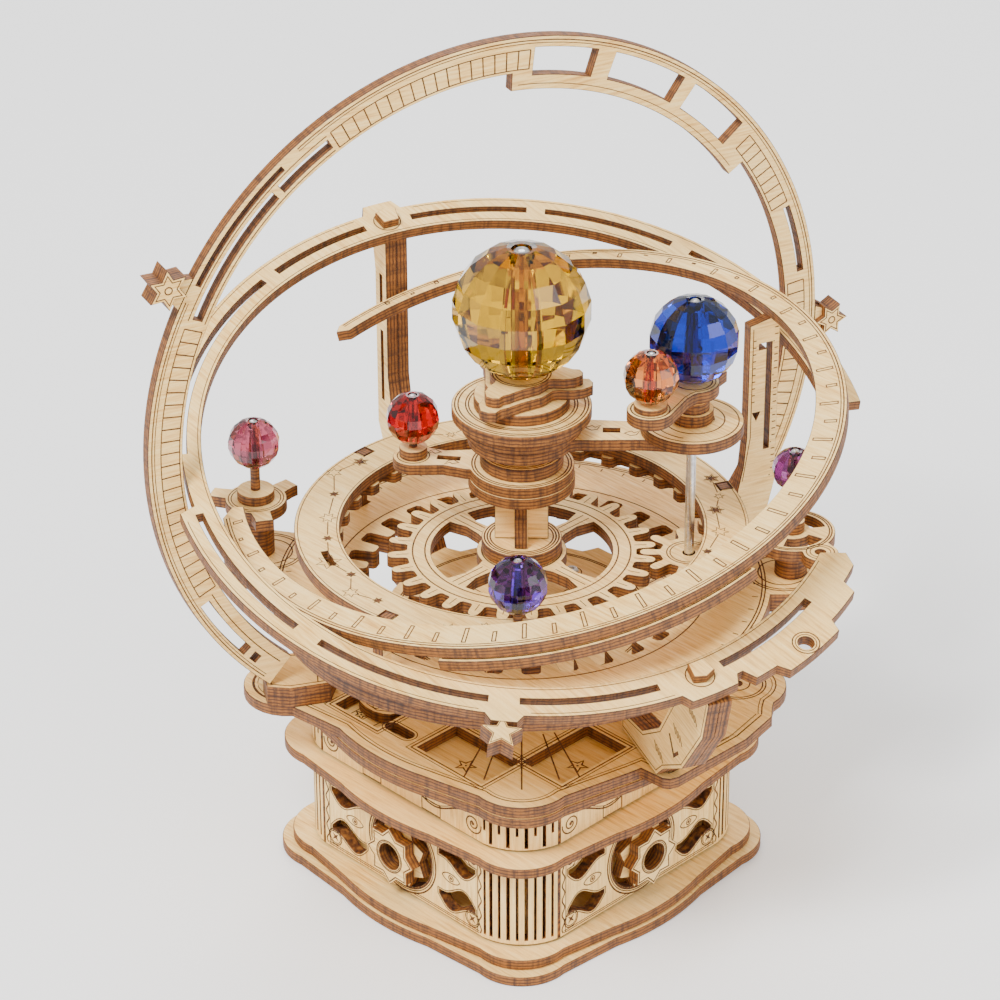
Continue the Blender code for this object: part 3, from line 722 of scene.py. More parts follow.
def wall_lines(z0, z1, mid):
    """Engraving of a wall: ring, eyes, corner stars, wavy borders and the foot lines."""
    z = (z0 + z1) / 2
    lines = [ring(0.34, 11.9, 56, (mid, z)), ring(0.2, 11.2, 56, (mid, z)),
             ring(0.4, 10.6, 56, (mid, z))]
    blots = []
    for side in (-1, 1):
        eye = (mid + side * 17.2, z - 0.2)
        lid = [(eye[0] + 3.0 * math.cos(t), eye[1] + 1.35 * math.sin(t) * abs(math.sin(t)) ** 0.3)
               for t in [2 * math.pi * k / 20 for k in range(20)]]
        lines += [(lid, True, 0.22), ring(0.2, 0.8, 14, eye)]
        blots.append(circle(0.42, 10, eye))
        corner = (mid + side * 24.6, z0 + 3.7)
        lines += [ring(0.24, 2.3, 24, corner), ring(0.16, 1.85, 24, corner)]
        blots.append(star(4, 1.5, 0.42, 45.0, corner))
        lines.append((spiral(0.4, 2.0, 90, side * 560, (mid + side * 24.8, z1 - 3.2), 26), False, 0.24))
        wave = [(mid + side * (27.3 + 0.45 * math.sin(k * 0.9)), z0 + 0.8 + k * 0.62) for k in range(37)]
        lines += [(wave, False, 0.3), ([(mid + side * 26.5, z0 + 0.8), (mid + side * 26.5, z1 - 0.8)],
                                       False, 0.16)]
        for level in (0.7, 1.25):
            run = math.sqrt(11.9 ** 2 - (z - z0 - level) ** 2) if z - z0 - level < 11.9 else 0.6
            lines.append(([(mid + side * run, z0 + level), (mid + side * 27.0, z0 + level)], False, 0.18))
    for window in window_places(mid, z):
        lines.append((inset(wave_window(*window), -0.45), True, 0.2))
    return lines, blots


def window_places(mid, z):
    """Ends, height and rise of the four wavy windows of a wall."""
    return [(*sorted((mid + side * 13.0, mid + side * 25.6)), z + level * 5.9, 1.3 * side * level)
            for side in (-1, 1) for level in (-1, 1)]


def frieze_lines(z0, mid):
    """Volutes, a long wave and tab outlines along the narrow band."""
    run = [(mid - 22.6 + 45.2 * k / 48, z0 + 4.7 + 1.9 * math.cos(math.pi * k / 12.0)) for k in range(49)]
    lines = [(run, False, 0.34), (offset(run, 0.6, False), False, 0.16)]
    blots = []
    for side in (-1, 1):
        centre = (mid + side * 25.0, z0 + 4.2)
        lines.append((spiral(0.5, 2.9, 90, side * 640, centre, 34), False, 0.3))
        blots.append(circle(0.5, 10, centre))
        tab = mid + side * 10.5
        lines.append((box(tab - 3.2, tab + 3.2, z0 + 0.3, z0 + 3.6), True, 0.2))
    for k in (-2, -1, 0, 1, 2):
        blots.append(star(5, 1.5, 0.62, 90, (mid + 8.6 * k, z0 + 8.1)))
        lines.append(([(mid + 8.6 * k + 2.4, z0 + 8.3), (mid + 8.6 * k + 4.4, z0 + 7.2),
                       (mid + 8.6 * k + 6.0, z0 + 8.6)], False, 0.24))
    return lines, blots


def fluted(name, heights, holes, lines, blots, slits, turn_deg, node_name):
    """Wall sheet with its slatted corner, bent from one flat outline."""
    z0, z1 = heights
    run = 2 * WALL_HALF
    folds = [run + CORNER_RUN * k / SLATS for k in range(1, SLATS)]
    outline = [(0.0, z0), (run, z0)] + [(s, z0) for s in folds] + [(run + CORNER_RUN, z0)]
    outline += [(run + CORNER_RUN, z1)] + [(s, z1) for s in reversed(folds)] + [(run, z1), (0.0, z1)]
    cuts = []
    for k in range(SLATS):
        s = run + CORNER_RUN * k / SLATS + (0.45 if k == 0 else 0.0)
        low, high, half = slits(k)
        cuts.append(box(s - half, s + half, low, high))
    place = on_wall(turn_deg)
    plate(name, [outline] + holes + cuts, PLY, place, (node_name,), mats=[WALL_FACE_MAT, WALL_EDGE_MAT],
          bevel=0.12)
    engrave(name + "_lines", lines, place, PLY, blots=blots)


def build_base():
    plate("foot_lower", [scallop(FOOT_LOWER, BASE_AT)], CUT, flat(0), ("base_sheet_lower",),
          bevel=BASE_BEVEL)
    plate("foot_upper", [scallop(FOOT_UPPER, BASE_AT)], CUT, flat(PLY), ("base_sheet_upper",),
          bevel=BASE_BEVEL)
    plate("middle_cornice", [scallop(MIDDLE, BASE_AT), circle(9.0, 32)], CUT, flat(Z_MIDDLE),
          ("middle_sheet",),
          bevel=BASE_BEVEL)
    z = (Z_WALL[0] + Z_WALL[1]) / 2
    mid = WALL_HALF
    centre = Matrix.Translation((BASE_AT[0] * MM, BASE_AT[1] * MM, 0.0))
    holes = [circle(ROSETTE_OPENING, 48, (mid, z))]
    holes += [wave_window(*window) for window in window_places(mid, z)]
    for k, side in enumerate(("front", "right", "back", "left")):
        lines, blots = wall_lines(*Z_WALL, mid)
        fluted("panel_" + side, Z_WALL, holes, lines, blots,
               lambda i: (Z_WALL[0] + 1.3, Z_WALL[1] - 0.7, 0.36 if i % 2 else 0.24), 90 * k, "wall_"
               + side)
        lines, blots = frieze_lines(Z_FRIEZE[0], mid)
        fluted("band_" + side, Z_FRIEZE, [], lines, blots,
               lambda i: (Z_FRIEZE[0] + (0.7 if i % 2 else 4.2), Z_FRIEZE[1] - 0.7,
                          0.36 if i % 2 else 0.24),
               90 * k, "frieze_" + side)
        back = centre @ upright(90 * k, WALL_FACE + ROSETTE_PROUD - 2 * PLY + 1.4, 0, z, 2.8)
        front = centre @ upright(90 * k, WALL_FACE + ROSETTE_PROUD - PLY / 2 + 0.05, 0, z, 2.9)
        plate("rosette_leaf_" + side, [star(8, 9.6, 7.4, 22.5), circle(4.2, 32)], 2.8, back,
              ("rosette_" + side,))
        plate("rosette_star_" + side, [star(8, 8.3, 6.3, 0.0), circle(3.6, 32)], 2.9, front)
        engrave("rosette_lines_" + side,
                [(star(8, 7.5, 5.6, 0.0), True, 0.26), ring(0.26, 4.4, 40),
                 ring(0.16, 4.0, 40)], front, 2.9)


# -------------------------------------------------------------------- deck

def pocket_loops():
    return [box(-23.0, -8.0, -41.5, -27.5), box(5.0, 27.0, -40.5, -27.5),
            turn(box(5.0, 27.0, 27.5, 40.5), -90),
            shift(arc(1.6, 90, 270, 12) + shift(arc(1.6, -90, 90, 12), 5.5, 0), -6.0, -38.6)]


def build_deck():
    plate("deck_tray", [scallop(DECK), circle(7.0, 32)], CUT, flat(Z_DECK), ("deck_lower",),
          bevel=BASE_BEVEL)
    left_lobe = circle(11.3, 28, polar(57.7, 228.0))
    right_lobe = circle(12.3, 28, polar(53.4, 41.0))
    right_shelf = [(40, -8.6), (56.0, -8.6), (57.6, -7.6), (58.4, -5.5), (58.8, 18), (56.5, 30), (48, 40),
                   (40, 40)]
    back_shelf = [(12, 40), (12, 59.5), (9, 62.5), (-9, 62.5), (-12, 59.5), (-12, 40)]
    outline = merged(scallop(DECK), left_lobe, right_lobe, right_shelf, back_shelf)
    pockets = pocket_loops()
    place = flat(Z_DECK + PLY)
    plate("deck_top", [outline, circle(7.0, 32)] + pockets, PLY, place, ("deck_upper",), bevel=BASE_BEVEL)
    edge = inset(outline, 2.6)
    lines = [(edge, True, 0.26), (inset(outline, 3.5), True, 0.16)]
    for loop in pockets[:3]:
        lines += [(inset(loop, -1.1), True, 0.3), (inset(loop, -2.0), True, 0.18)]
    lines.append((inset(pockets[3], -0.8), True, 0.2))
    for a in (-62, -56, -45, -34, -28):
        lines.append(spoke(27.0, 50.5 if a == -45 else 47.0, a, 0.3))
    for centre, radii in ((polar(53.4, 41.0), (7.2, 6.4, 3.2)), (polar(57.7, 228.0), (9.0,)),
                          (polar(53.0, 135.0), (7.2, 6.4, 3.2))):
        lines += rings_at(radii, 40, centre)
    lines += [([(54.2, -6.0), (55.8, -4.0), (56.2, 17.5), (54.2, 28.6)], False, 0.26),
              ([(53.3, -5.0), (54.6, -3.2), (55.0, 17.2), (53.0, 28.0)], False, 0.18)]
    for x in (-8, -4, 0, 4, 8):
        lines.append(([(x, 52.5), (x, 60.0)], False, 0.26))
    for k in range(9):
        a = 150 + 8 * k
        lines.append(spoke(44.0, 47.0 if k % 2 else 46.0, a, 0.3))
    blots = [circle(1.5, 16, polar(53.4, 41.0)), circle(1.5, 16, polar(53.0, 135.0)),
             star(5, 2.0, 0.8, 90, (-36.0, -33.0)), star(5, 2.0, 0.8, 90, (-34.0, 30.0)),
             star(5, 2.0, 0.8, 90, (30.0, 33.0))]
    engrave("deck_lines", lines, place, PLY, blots=blots)
    floor = []
    stars = []
    for x, y, size in ((15.5, -34.5, 2.6), (-18.8, -37.0, 2.0), (34.5, -15.5, 2.6), (-11.5, -31.0, 1.6)):
        floor.append((star(5, size, size * 0.42, 100, (x, y)), True, 0.34))
        stars.append(circle(0.3, 8, (x, y)))
    for x in (-21.0, -17.0, -13.0, -10.0):
        floor.append(([(x, -41.0), (x, -28.0)], False, 0.2))
    engrave("deck_floor_lines", floor, flat(Z_DECK), CUT, blots=stars)

    lever = [(-6.5, 0), (-5.4, -1.3), (-4, -2.2), (-1.4, -2.8), (1.5, -2.8), (3.8, -2.0), (5.5, -0.8),
             (6.7, 2.2),
             (5.0, 1.5), (3.5, 1.2), (0, 0.8), (-2.2, 1.2), (-4, 1.9), (-5.4, 1.2)]
    place = flat(Z_DECK + PLY + GAP, -15.5, -34.5)
    plate("lever_leaf", [lever], CUT, place, ("start_lever",), body="lever")
    engrave("lever_lines", [([(-5, -0.4), (-2, -1.6), (1.6, -1.8), (4.8, 0.2)], False, 0.2),
                            ring(0.2, 0.9, 16, (0.4, -0.7))], place, CUT, body="lever")

    foot = [(-6, -8), (5, -8.5), (8.4, -7.6), (9.5, -6.5), (10.2, 0), (9.5, 6.5), (4, 8), (-6, 6.5),
            (-8, 0)]
    place = flat(DECK_TOP, *polar(54.0, 232.0), 232)
    plate("foot_pad", [foot], 2 * PLY - GAP, place, ("meridian_foot",), bevel=BASE_BEVEL)
    engrave("foot_pad_lines", [(inset(foot, 1.2), True, 0.24),
                               ([(-3.5, -6.6), (-3.0, 5.6)], False, 0.24)], place, 2 * PLY - GAP)


# ------------------------------------------------------------------- rings

def build_meridian():
    r_in, r_out = MERIDIAN_R
    place = upright(MERIDIAN_AZ, MERIDIAN_OFF, *MERIDIAN_C)
    start, end = MERIDIAN_SPAN
    deep, deep_from, deep_to = MERIDIAN_DEEP
    outer = arc(r_out, start, end, 150)
    inner = arc(r_in, end, deep_to, 76) + arc(deep, deep_to, deep_from,
                                              32) + arc(r_in, deep_from, start, 48)
    holes = [ring_sector(81.2, 88.0, a, b, n) for a, b,
             n in ((71.6, 82.8, 8), (54.4, 68.2, 9), (39.8, 51.8, 8))]
    holes += [ring_sector(83.9, 86.3, a, b, n) for a, b, n in ((119.6, 129.8, 6), (131.2, 154.2, 12))]
    holes.append(arc(89.4, 127.5, 149.0, 12) + arc(88.1, 149.0, 127.5, 12))
    holes += [ring_sector(86.0, 87.6, 8.2, 20.8, 7), ring_sector(86.0, 88.4, 206.4, 219.0, 7),
              ring_sector(86.2, 88.2, 220.4, 221.8, 2)]
    plate("meridian_band", [outer + inner] + holes, PLY, place, ("meridian_ring",), bevel=RING_BEVEL)
    lines = [(arc(89.8, a, b, n), False, 0.22) for a, b, n in ((-51, 124, 110), (152, 225, 40))]
    lines += [(arc(89.1, a, b, n), False, 0.14) for a, b, n in ((-51, 124, 110), (152, 225, 40))]
    spans = ((83.6, 118.6, 17), (21.8, 37.0, 8), (156.0, 204.6, 23), (-50.0, 6.4, 27))
    for a, b, count in spans:
        lines += [(arc(87.5, a, b, 2 * count), False, 0.2), (arc(82.8, a, b, 2 * count), False, 0.2)]
        for k in range(count + 1):
            at = a + (b - a) * k / count
            lines.append(spoke(82.8, 87.5, at, 0.26))
    lines += [(arc(79.0, 35.4, 85.4, 36), False, 0.14), (arc(82.9, 119.4, 154.6, 26), False, 0.2),
              (arc(87.4, 119.4, 154.6, 26), False, 0.2), (arc(84.6, 205.6, 225.6, 12), False, 0.22)]
    engrave("meridian_lines", lines, place, PLY)

    for name, at, r, size in (("left", 150.8, 96.2, 5.2), ("right", -1.8, 95.0, 4.6)):
        spot = polar(r, at)
        tab = [polar(90.9, at - 2.6), polar(93.2, at - 1.9), polar(93.2, at + 1.9), polar(90.9, at + 2.6)]
        plate("meridian_tab_" + name, [tab], PLY, place, bevel=0.1)
        plate("meridian_star_" + name, [star(6, size, size * 0.55, at, spot)], 2 * PLY,
              raised(place, -0.5 * PLY), bevel=RING_BEVEL)
        engrave("meridian_star_lines_" + name,
                [(star(6, size * 0.72, size * 0.4, at, spot), True, 0.2), ring(0.24, 0.9, 16, spot)],
                raised(place, -0.5 * PLY), 2 * PLY)


def build_slotted():
    r_in, r_out = SLOTTED_R
    start, end = SLOTTED_SPAN
    place = tilted(SLOTTED_C, SLOTTED_TILT)
    outer = []
    a = start
    while a <= end:
        r = r_out
        if any(abs(a - notch) < 5.5 for notch in SLOTTED_NOTCHES):
            r = r_out - 3.8
        for lug, width, rise in SLOTTED_LUGS:
            if abs(a - lug) < width:
                r = r_out + rise
        if 352.0 < a < 378.0:
            r = r_out + (6.4 if 357.0 < a < 370.0 else 3.4)
        outer.append(polar(r, a))
        a += 1.0
    outer.append(polar(r_out - 3.0, end + 2.0))
    outline = outer + arc(r_in, end, start, 160)
    spans = ((64, 77), (93, 104), (108, 131.5), (135, 156), (165, 184.6), (188, 233), (247, 276),
             (281, 310.2),
             (315.4, 338.2), (350.0, 371.0))
    slots = [ring_sector(80.2, 81.9, a, b, max(3, int((b - a) / 2))) for a, b in spans]
    eyelet = polar(88.3, 363.6)
    plate("slotted_band", [outline] + slots + [circle(1.9, 24, eyelet)], PLY, place, ("slotted_ring",),
          bevel=RING_BEVEL)
    lines = [ring(0.22, 3.2, 32, eyelet), ring(0.16, 2.5, 32, eyelet)]
    lines += [(arc(84.4, a, b, int(b - a)), False, 0.14) for a,
              b in ((92, 155), (166, 233), (248, 309), (317, 340))]
    lines.append((arc(77.5, 60, 380, 320), False, 0.14))
    for lug in (160.5, 345.6):
        lines.append(ring(0.22, 3.4, 24, polar(81.5, lug)))
        post = [polar(81.2 + dr, lug + da) for dr, da in ((-2.2, -1.5), (1.8, -1.9), (2.8, 0), (1.8, 1.9),
                                                          (-2.2, 1.5))]
        plate("slotted_knob_%d" % lug, [post], 2.4, raised(place, PLY), bevel=BASE_BEVEL)
    engrave("slotted_lines", lines, place, PLY)
    lower = raised(place, -2.0)
    tip_az = -47.2
    tip = polar(90.2, tip_az)
    plate("slotted_star", [star(5, 5.0, 2.3, tip_az + 180, tip)], 4.9, lower, bevel=0.18)
    engrave("slotted_star_lines", [(star(5, 4.0, 1.85, tip_az + 180, tip), True, 0.16)], lower, 4.9)


def build_graduated():
    place = tilted(GRAD_C, GRAD_TILT)
    start, end = GRAD_SPAN
    r_in, r_out = GRAD_R
    grow_out, grow_in, widest = GRAD_SWELL
    band = arc(r_out, start, end, 170, polar(grow_out, widest)) + [polar(r_in + 3.6, end + 1.8)]
    band += arc(r_in, end, start, 170, polar(-grow_in, widest)) + [polar(r_in + 3.0, start - 2.0)]
    plate("graduated_band", [band], PLY, place, ("graduated_ring",), bevel=RING_BEVEL)
    lines = [(arc(r_out - 0.8, start + 0.5, end - 0.5, 150, polar(grow_out, widest)), False, 0.24),
             (arc(r_out - 1.5, start + 0.5, end - 0.5, 150, polar(grow_out, widest)), False, 0.18)]
    step = 5.4
    for k in range(int((end - start - 4) / step)):
        at = start + 3.2 + step * k
        swell = math.cos(math.radians(at - widest))
        low = r_in - grow_in * swell + (1.1 if k % 2 == 0 else 2.7)
        high = r_out + grow_out * swell - 2.2
        tick = [polar(low, at - 0.34), polar(high, at - 0.34), polar(high, at + 0.34),
                polar(low, at + 0.34)]
        lines.append((tick, True, 0.22))
    engrave("graduated_lines", lines, place, PLY)
    lean, drop = math.radians(GRAD_TILT[0]), PLY + GAP
    back = polar(drop * math.sin(lean), GRAD_TILT[1])
    below = (GRAD_C[0] - back[0], GRAD_C[1] - back[1], GRAD_C[2] - drop * math.cos(lean))
    place = tilted(below, GRAD_TILT)
    out = polar(1.9, -18.0)
    plate("graduated_under", [shift(ring_sector(r_in, r_out, -63.0, -4.0, 50), *out)], PLY, place,
          ("graduated_arc",), bevel=RING_BEVEL)
    engrave("graduated_under_lines", [(arc(r_out - 0.9, -62.5, -4.5, 50, out), False, 0.22)], place, PLY)


# ------------------------------------------------------------------- posts

def doubled(name, loops, place, node_name):
    """Two thin sheets face to face; the first stands for the node."""
    for k, nodes in enumerate(((node_name,), ())):
        plate("%s_leaf_%d" % (name, k), loops, LEAF, raised(place, k * PLY), nodes)


def build_posts():
    back = [(44, 52), (57, 52), (60, 56), (62, 60), (66, 66), (72, 72), (79, 79), (82, 84), (82, 128),
            (84.5, 142.0),
            (75, 139.0), (75, 100), (73.5, 93), (70, 88), (60, 70), (52, 60), (44, 58)]
    slots = [box(77.6, 79.2, 92, 112), box(77.6, 79.2, 117, 128)]
    place = upright(160.0, 0, 0, 0, 2 * PLY)
    doubled("back_post", [back] + slots, place, "back_post")
    lines = [(inset(back, 1.1), True, 0.2)]
    lines += [([(80.3, 86 + 2.0 * k), (81.4 if k % 5 else 80.0, 86 + 2.0 * k)], False, 0.2)
              for k in range(20)]
    engrave("back_post_lines", lines, place, PLY + LEAF)

    bracket = [(31, 52), (53, 52), (57, 56), (68, 63), (79, 78), (82, 89.0), (72, 92.2),
               (67, 86), (60.5, 76), (54, 66), (44, 59), (31, 57)]
    place = upright(-24.0, -17.0, 0, 0, 2 * PLY)
    doubled("bracket", [bracket], place, "front_bracket")
    lines = [([(60.2, 68.2), (63.0, 63.6), (65.6, 66.0)], False, 0.7)]
    for x, y in ((70.6, 83.0), (62.5, 72.5), (51.5, 61.0)):
        for k in range(4):
            lines.append(([(x + 1.25 * k, y - 0.4 * k), (x + 1.25 * k + 1.4, y - 2.4 - 0.4 * k)], False,
                          0.34))
    lines.append((inset(bracket, 1.0), True, 0.18))
    engrave("bracket_lines", lines, place, PLY + LEAF)

    right = [(34, 52), (47, 52), (52, 55), (55, 58), (62, 63), (68, 68), (71.6, 76), (74, 86), (74, 133.2),
             (65.5, 131.5),
             (65.5, 100), (64.8, 92), (63.5, 86), (61.5, 72), (56, 66), (47, 62), (34, 58)]
    place = upright(72.0, -6.2)
    gamma = [(70.4, 96.0), (71.9, 96.0), (71.9, 126.0), (68.2, 126.0), (68.2, 124.4), (70.4, 124.4)]
    tri = [(66.9, 106.9), (69.0, 106.9), (68.0, 104.6)]
    plate("right_post_leaf", [right, gamma, tri], PLY, place, ("right_post",))
    lines = [([(72.6, 88 + 1.9 * k), (73.6 if k % 5 else 72.2, 88 + 1.9 * k)], False, 0.22)
             for k in range(23)]
    lines += [([(66.4, 110 + 1.9 * k), (67.4, 110 + 1.9 * k)], False, 0.22) for k in range(10)]
    lines.append(([(64.6, 88), (66.5, 100), (66.5, 130.4)], False, 0.18))
    engrave("right_post_lines", lines, place, PLY)


# -------------------------------------------------------------- gear stage

def constellations():
    """Stars joined by thin lines round the star ring: azimuth, radius and rank of each."""
    groups = (
        ((-172, 50.4, 1), (-163, 52.8, 1), (-152, 48.2, 0), (-138, 47.2, 1), (-126, 47.4, 0),
         (-113, 49.6, 2),
         (-104, 47.2, 0), (-96, 51.8, 1), (-88, 49.5, 0)),
        ((-64, 51.5, 1), (-55, 48.2, 0), (-46, 50.8, 1), (-40, 46.8, 0)),
        ((-20, 51.0, 1), (-10, 47.4, 0), (2, 50.0, 1), (10, 47.2, 0)),
        ((28, 46.6, 0), (40, 48.2, 1), (52.5, 47.8, 1), (60, 50.2, 0), (70, 51.8, 1)),
        ((100, 50.8, 1), (108, 47.6, 0), (119, 51.6, 1), (128, 48.8, 0)),
        ((148, 51.2, 1), (157, 47.8, 0), (166, 51.6, 1), (172, 48.4, 0)))
    lines, blots = [], []
    for group in groups:
        for (a, r, _), (b, s, _) in zip(group, group[1:]):
            p, q = Vector(polar(r, a)), Vector(polar(s, b))
            gap = (q - p).normalized()
            lines.append(([tuple(p + gap * 1.9), tuple(q - gap * 1.7)], False, 0.2))
        for k, (a, r, rank) in enumerate(group):
            size = (1.3, 2.1, 3.2)[rank]
            spot = polar(r, a)
            if k % 2 == 0:
                blots.append(star(6, size * 0.8, size * 0.36, a, spot))
            lines.append((star(6, size, size * 0.5, a, spot), True, 0.15))
    return lines, blots


def build_gear_stage():
    mats = flat_ply(52.0)
    turned("stage_neck", [(6, 52), (17, 52), (17, 66.9), (6, 66.9)], mats, body="case",
           nodes=("stage_plate",),
           closed=True)
    stage = merged(circle(34.0, 60), box(-36.5, 36.5, -9, 9), turn(box(-36.5, 36.5, -9, 9), 90))
    windows = [ring_sector(20.0, 29.0, a, a + 34, 12) for a in (28, 118, 208, 298)]
    place = flat(STAGE_Z)
    plate("stage_disc", [stage, circle(6.0, 32)] + windows, CUT, place, bevel=0.15)
    screws = [(3.5, 16.4), (-5.2, 22.9), (12.8, -13.6), (22.0, 5.0)]
    lines = rings_at((18.6, 17.9, 30.6, 31.2), 72)
    for x, y in screws:
        lines.append(ring(0.22, 2.5, 24, (x, y)))
    for a in (0, 45, 90, 135, 180, 225, 270, 315):
        lines.append(spoke(8.5, 16.8, a, 0.24))
        lines.append(([polar(9.0, a + 14), polar(14.0, a + 20), polar(16.5, a + 30)], False, 0.24))
    engrave("stage_disc_lines", lines, place, CUT)
    for k, at in enumerate(screws):
        turned("stage_screw_%d" % k, [(0, 69.0), (1.7, 69.0), (1.75, 70.3), (1.45, 70.75), (0.75, 70.9),
                                      (0.6, 70.45),
                                      (0, 70.4)], [STEEL], at, 24, "case")

    post_holes = [turn(box(53.4, 57.6, -2.0, 2.0), a) for a in PILLARS]
    ears = [turn(shift(circle(11.0, 24), 64.0, 0), az) for _, az in (PINK_AT, PURPLE_AT)]
    outer = merged(circle(61.0, 120), *ears)
    place = flat(LOWER_RING_Z)
    plate("lower_ring_band", [outer, internal_teeth(30, 44.0, 38.0)] + post_holes, LOWER_RING_DEEP, place,
          ("lower_gear_ring",),
          bevel=0.18)
    lines = rings_at((59.6, 58.8, 46.2), 100)
    for k in range(60):
        lines.append(spoke(56.6, 58.0, 6 * k, 0.24))
    for _, az in (PINK_AT, PURPLE_AT):
        lines += rings_at((8.8, 8.0, 6.0), 40, polar(64.0, az))
    engrave("lower_ring_lines", lines, place, LOWER_RING_DEEP)
    place = flat(UPPER_RING_Z)
    plate("upper_ring_band", [circle(50.6, 96), internal_teeth(34, 46.4, 43.4)], CUT, place,
          ("upper_gear_ring",))

    r_in, r_out = STAR_RING_R
    tabs = [turn(box(51.4, 54.8, -1.9, 1.9), a) for a in PILLARS]
    place = flat(STAR_RING_Z)
    oval = ring_sector(48.4, 50.0, 241.0, 249.0, 6)
    plate("star_band", [circle(r_out, 120), circle(r_in, 120), oval] + tabs, PLY, place,
          ("constellation_ring",),
          bevel=RING_BEVEL)
    lines, blots = constellations()
    engrave("star_band_lines", lines + rings_at((54.4, 44.9), 120), place, PLY, blots=blots, width=0.16)
    for k, (a, foot) in enumerate(zip(PILLARS, PILLAR_FEET)):
        pillar = [(53.8, foot), (57.2, foot), (57.2, 92.2), (54.4, 92.2), (54.4, 95.5), (51.8, 95.5),
                  (51.8, 89.8),
                  (53.8, 89.8)]
        plate("pillar_leaf_%d" % k, [pillar], PLY, upright(a), ("ring_pillar_%d" % (k + 1),))

    phase = EARTH_AZ + 180.0 / SUN_TEETH
    gear = external_gear(SUN_TEETH, 0.46, phase)
    windows = []
    for a in QUARTERS:
        windows.append(arc(22.2, a + 8, a + 82, 22) + [polar(17.5, a + 84), polar(13.0, a + 80)]
                       + arc(11.0, a + 74, a + 16, 10) + [polar(13.0, a + 10), polar(17.5, a + 6)])
    place = flat(SUN_GEAR_Z)
    plate("sun_gear_disc", [gear, circle(4.6, 32)] + windows, PLY, place, ("sun_gear",))
    lines = rings_at((23.6, 26.6, 9.8), 90)
    for k in range(SUN_TEETH):
        a = phase + 360.0 / SUN_TEETH * k
        lines.append(spoke(27.6, 30.6, a, 0.16))
    for a in QUARTERS:
        lines += [([polar(12.5, a + 4 * side), polar(22.5, a + 2.5 * side)], False, 0.2)
                  for side in (-1, 1)]
    engrave("sun_gear_lines", lines, place, PLY)
    for k, a in enumerate(QUARTERS):
        scroll = [polar(r, a + 45 + d) for r, d in (
            (15.2, -24), (18.6, -19), (19.6, -11), (18.2, -5), (20.0, 0), (18.2, 5),
            (19.6, 11), (18.6, 19), (15.2, 24), (15.9, 12), (14.2, 0), (15.9, -12))]
        plate("stage_scroll_%d" % k, [scroll], 2.6, flat(STAGE_TOP), bevel=0.15)


# ------------------------------------------------------------ rotating stack

RED = polar(RED_R, RED_AZ)
EARTH = polar(EARTH_R, EARTH_AZ)
MOON = polar(MOON_R, MOON_AZ, EARTH)
PINK, PURPLE, VIOLET = polar(*PINK_AT), polar(*PURPLE_AT), polar(*VIOLET_AT)


def swirl(r):
    """Three curved blades around a hub."""
    points = []
    for k in range(3):
        a = 120 * k + 20
        points += [polar(r * m, a + d) for m, d in (
            (0.50, -4), (0.56, 2), (0.72, 6), (0.88, 12), (1.0, 20), (1.0, 27), (0.96, 33), (0.84, 35),
            (0.76, 41),
            (0.66, 48), (0.58, 58), (0.53, 72), (0.52, 88), (0.50, 102))]
    return points


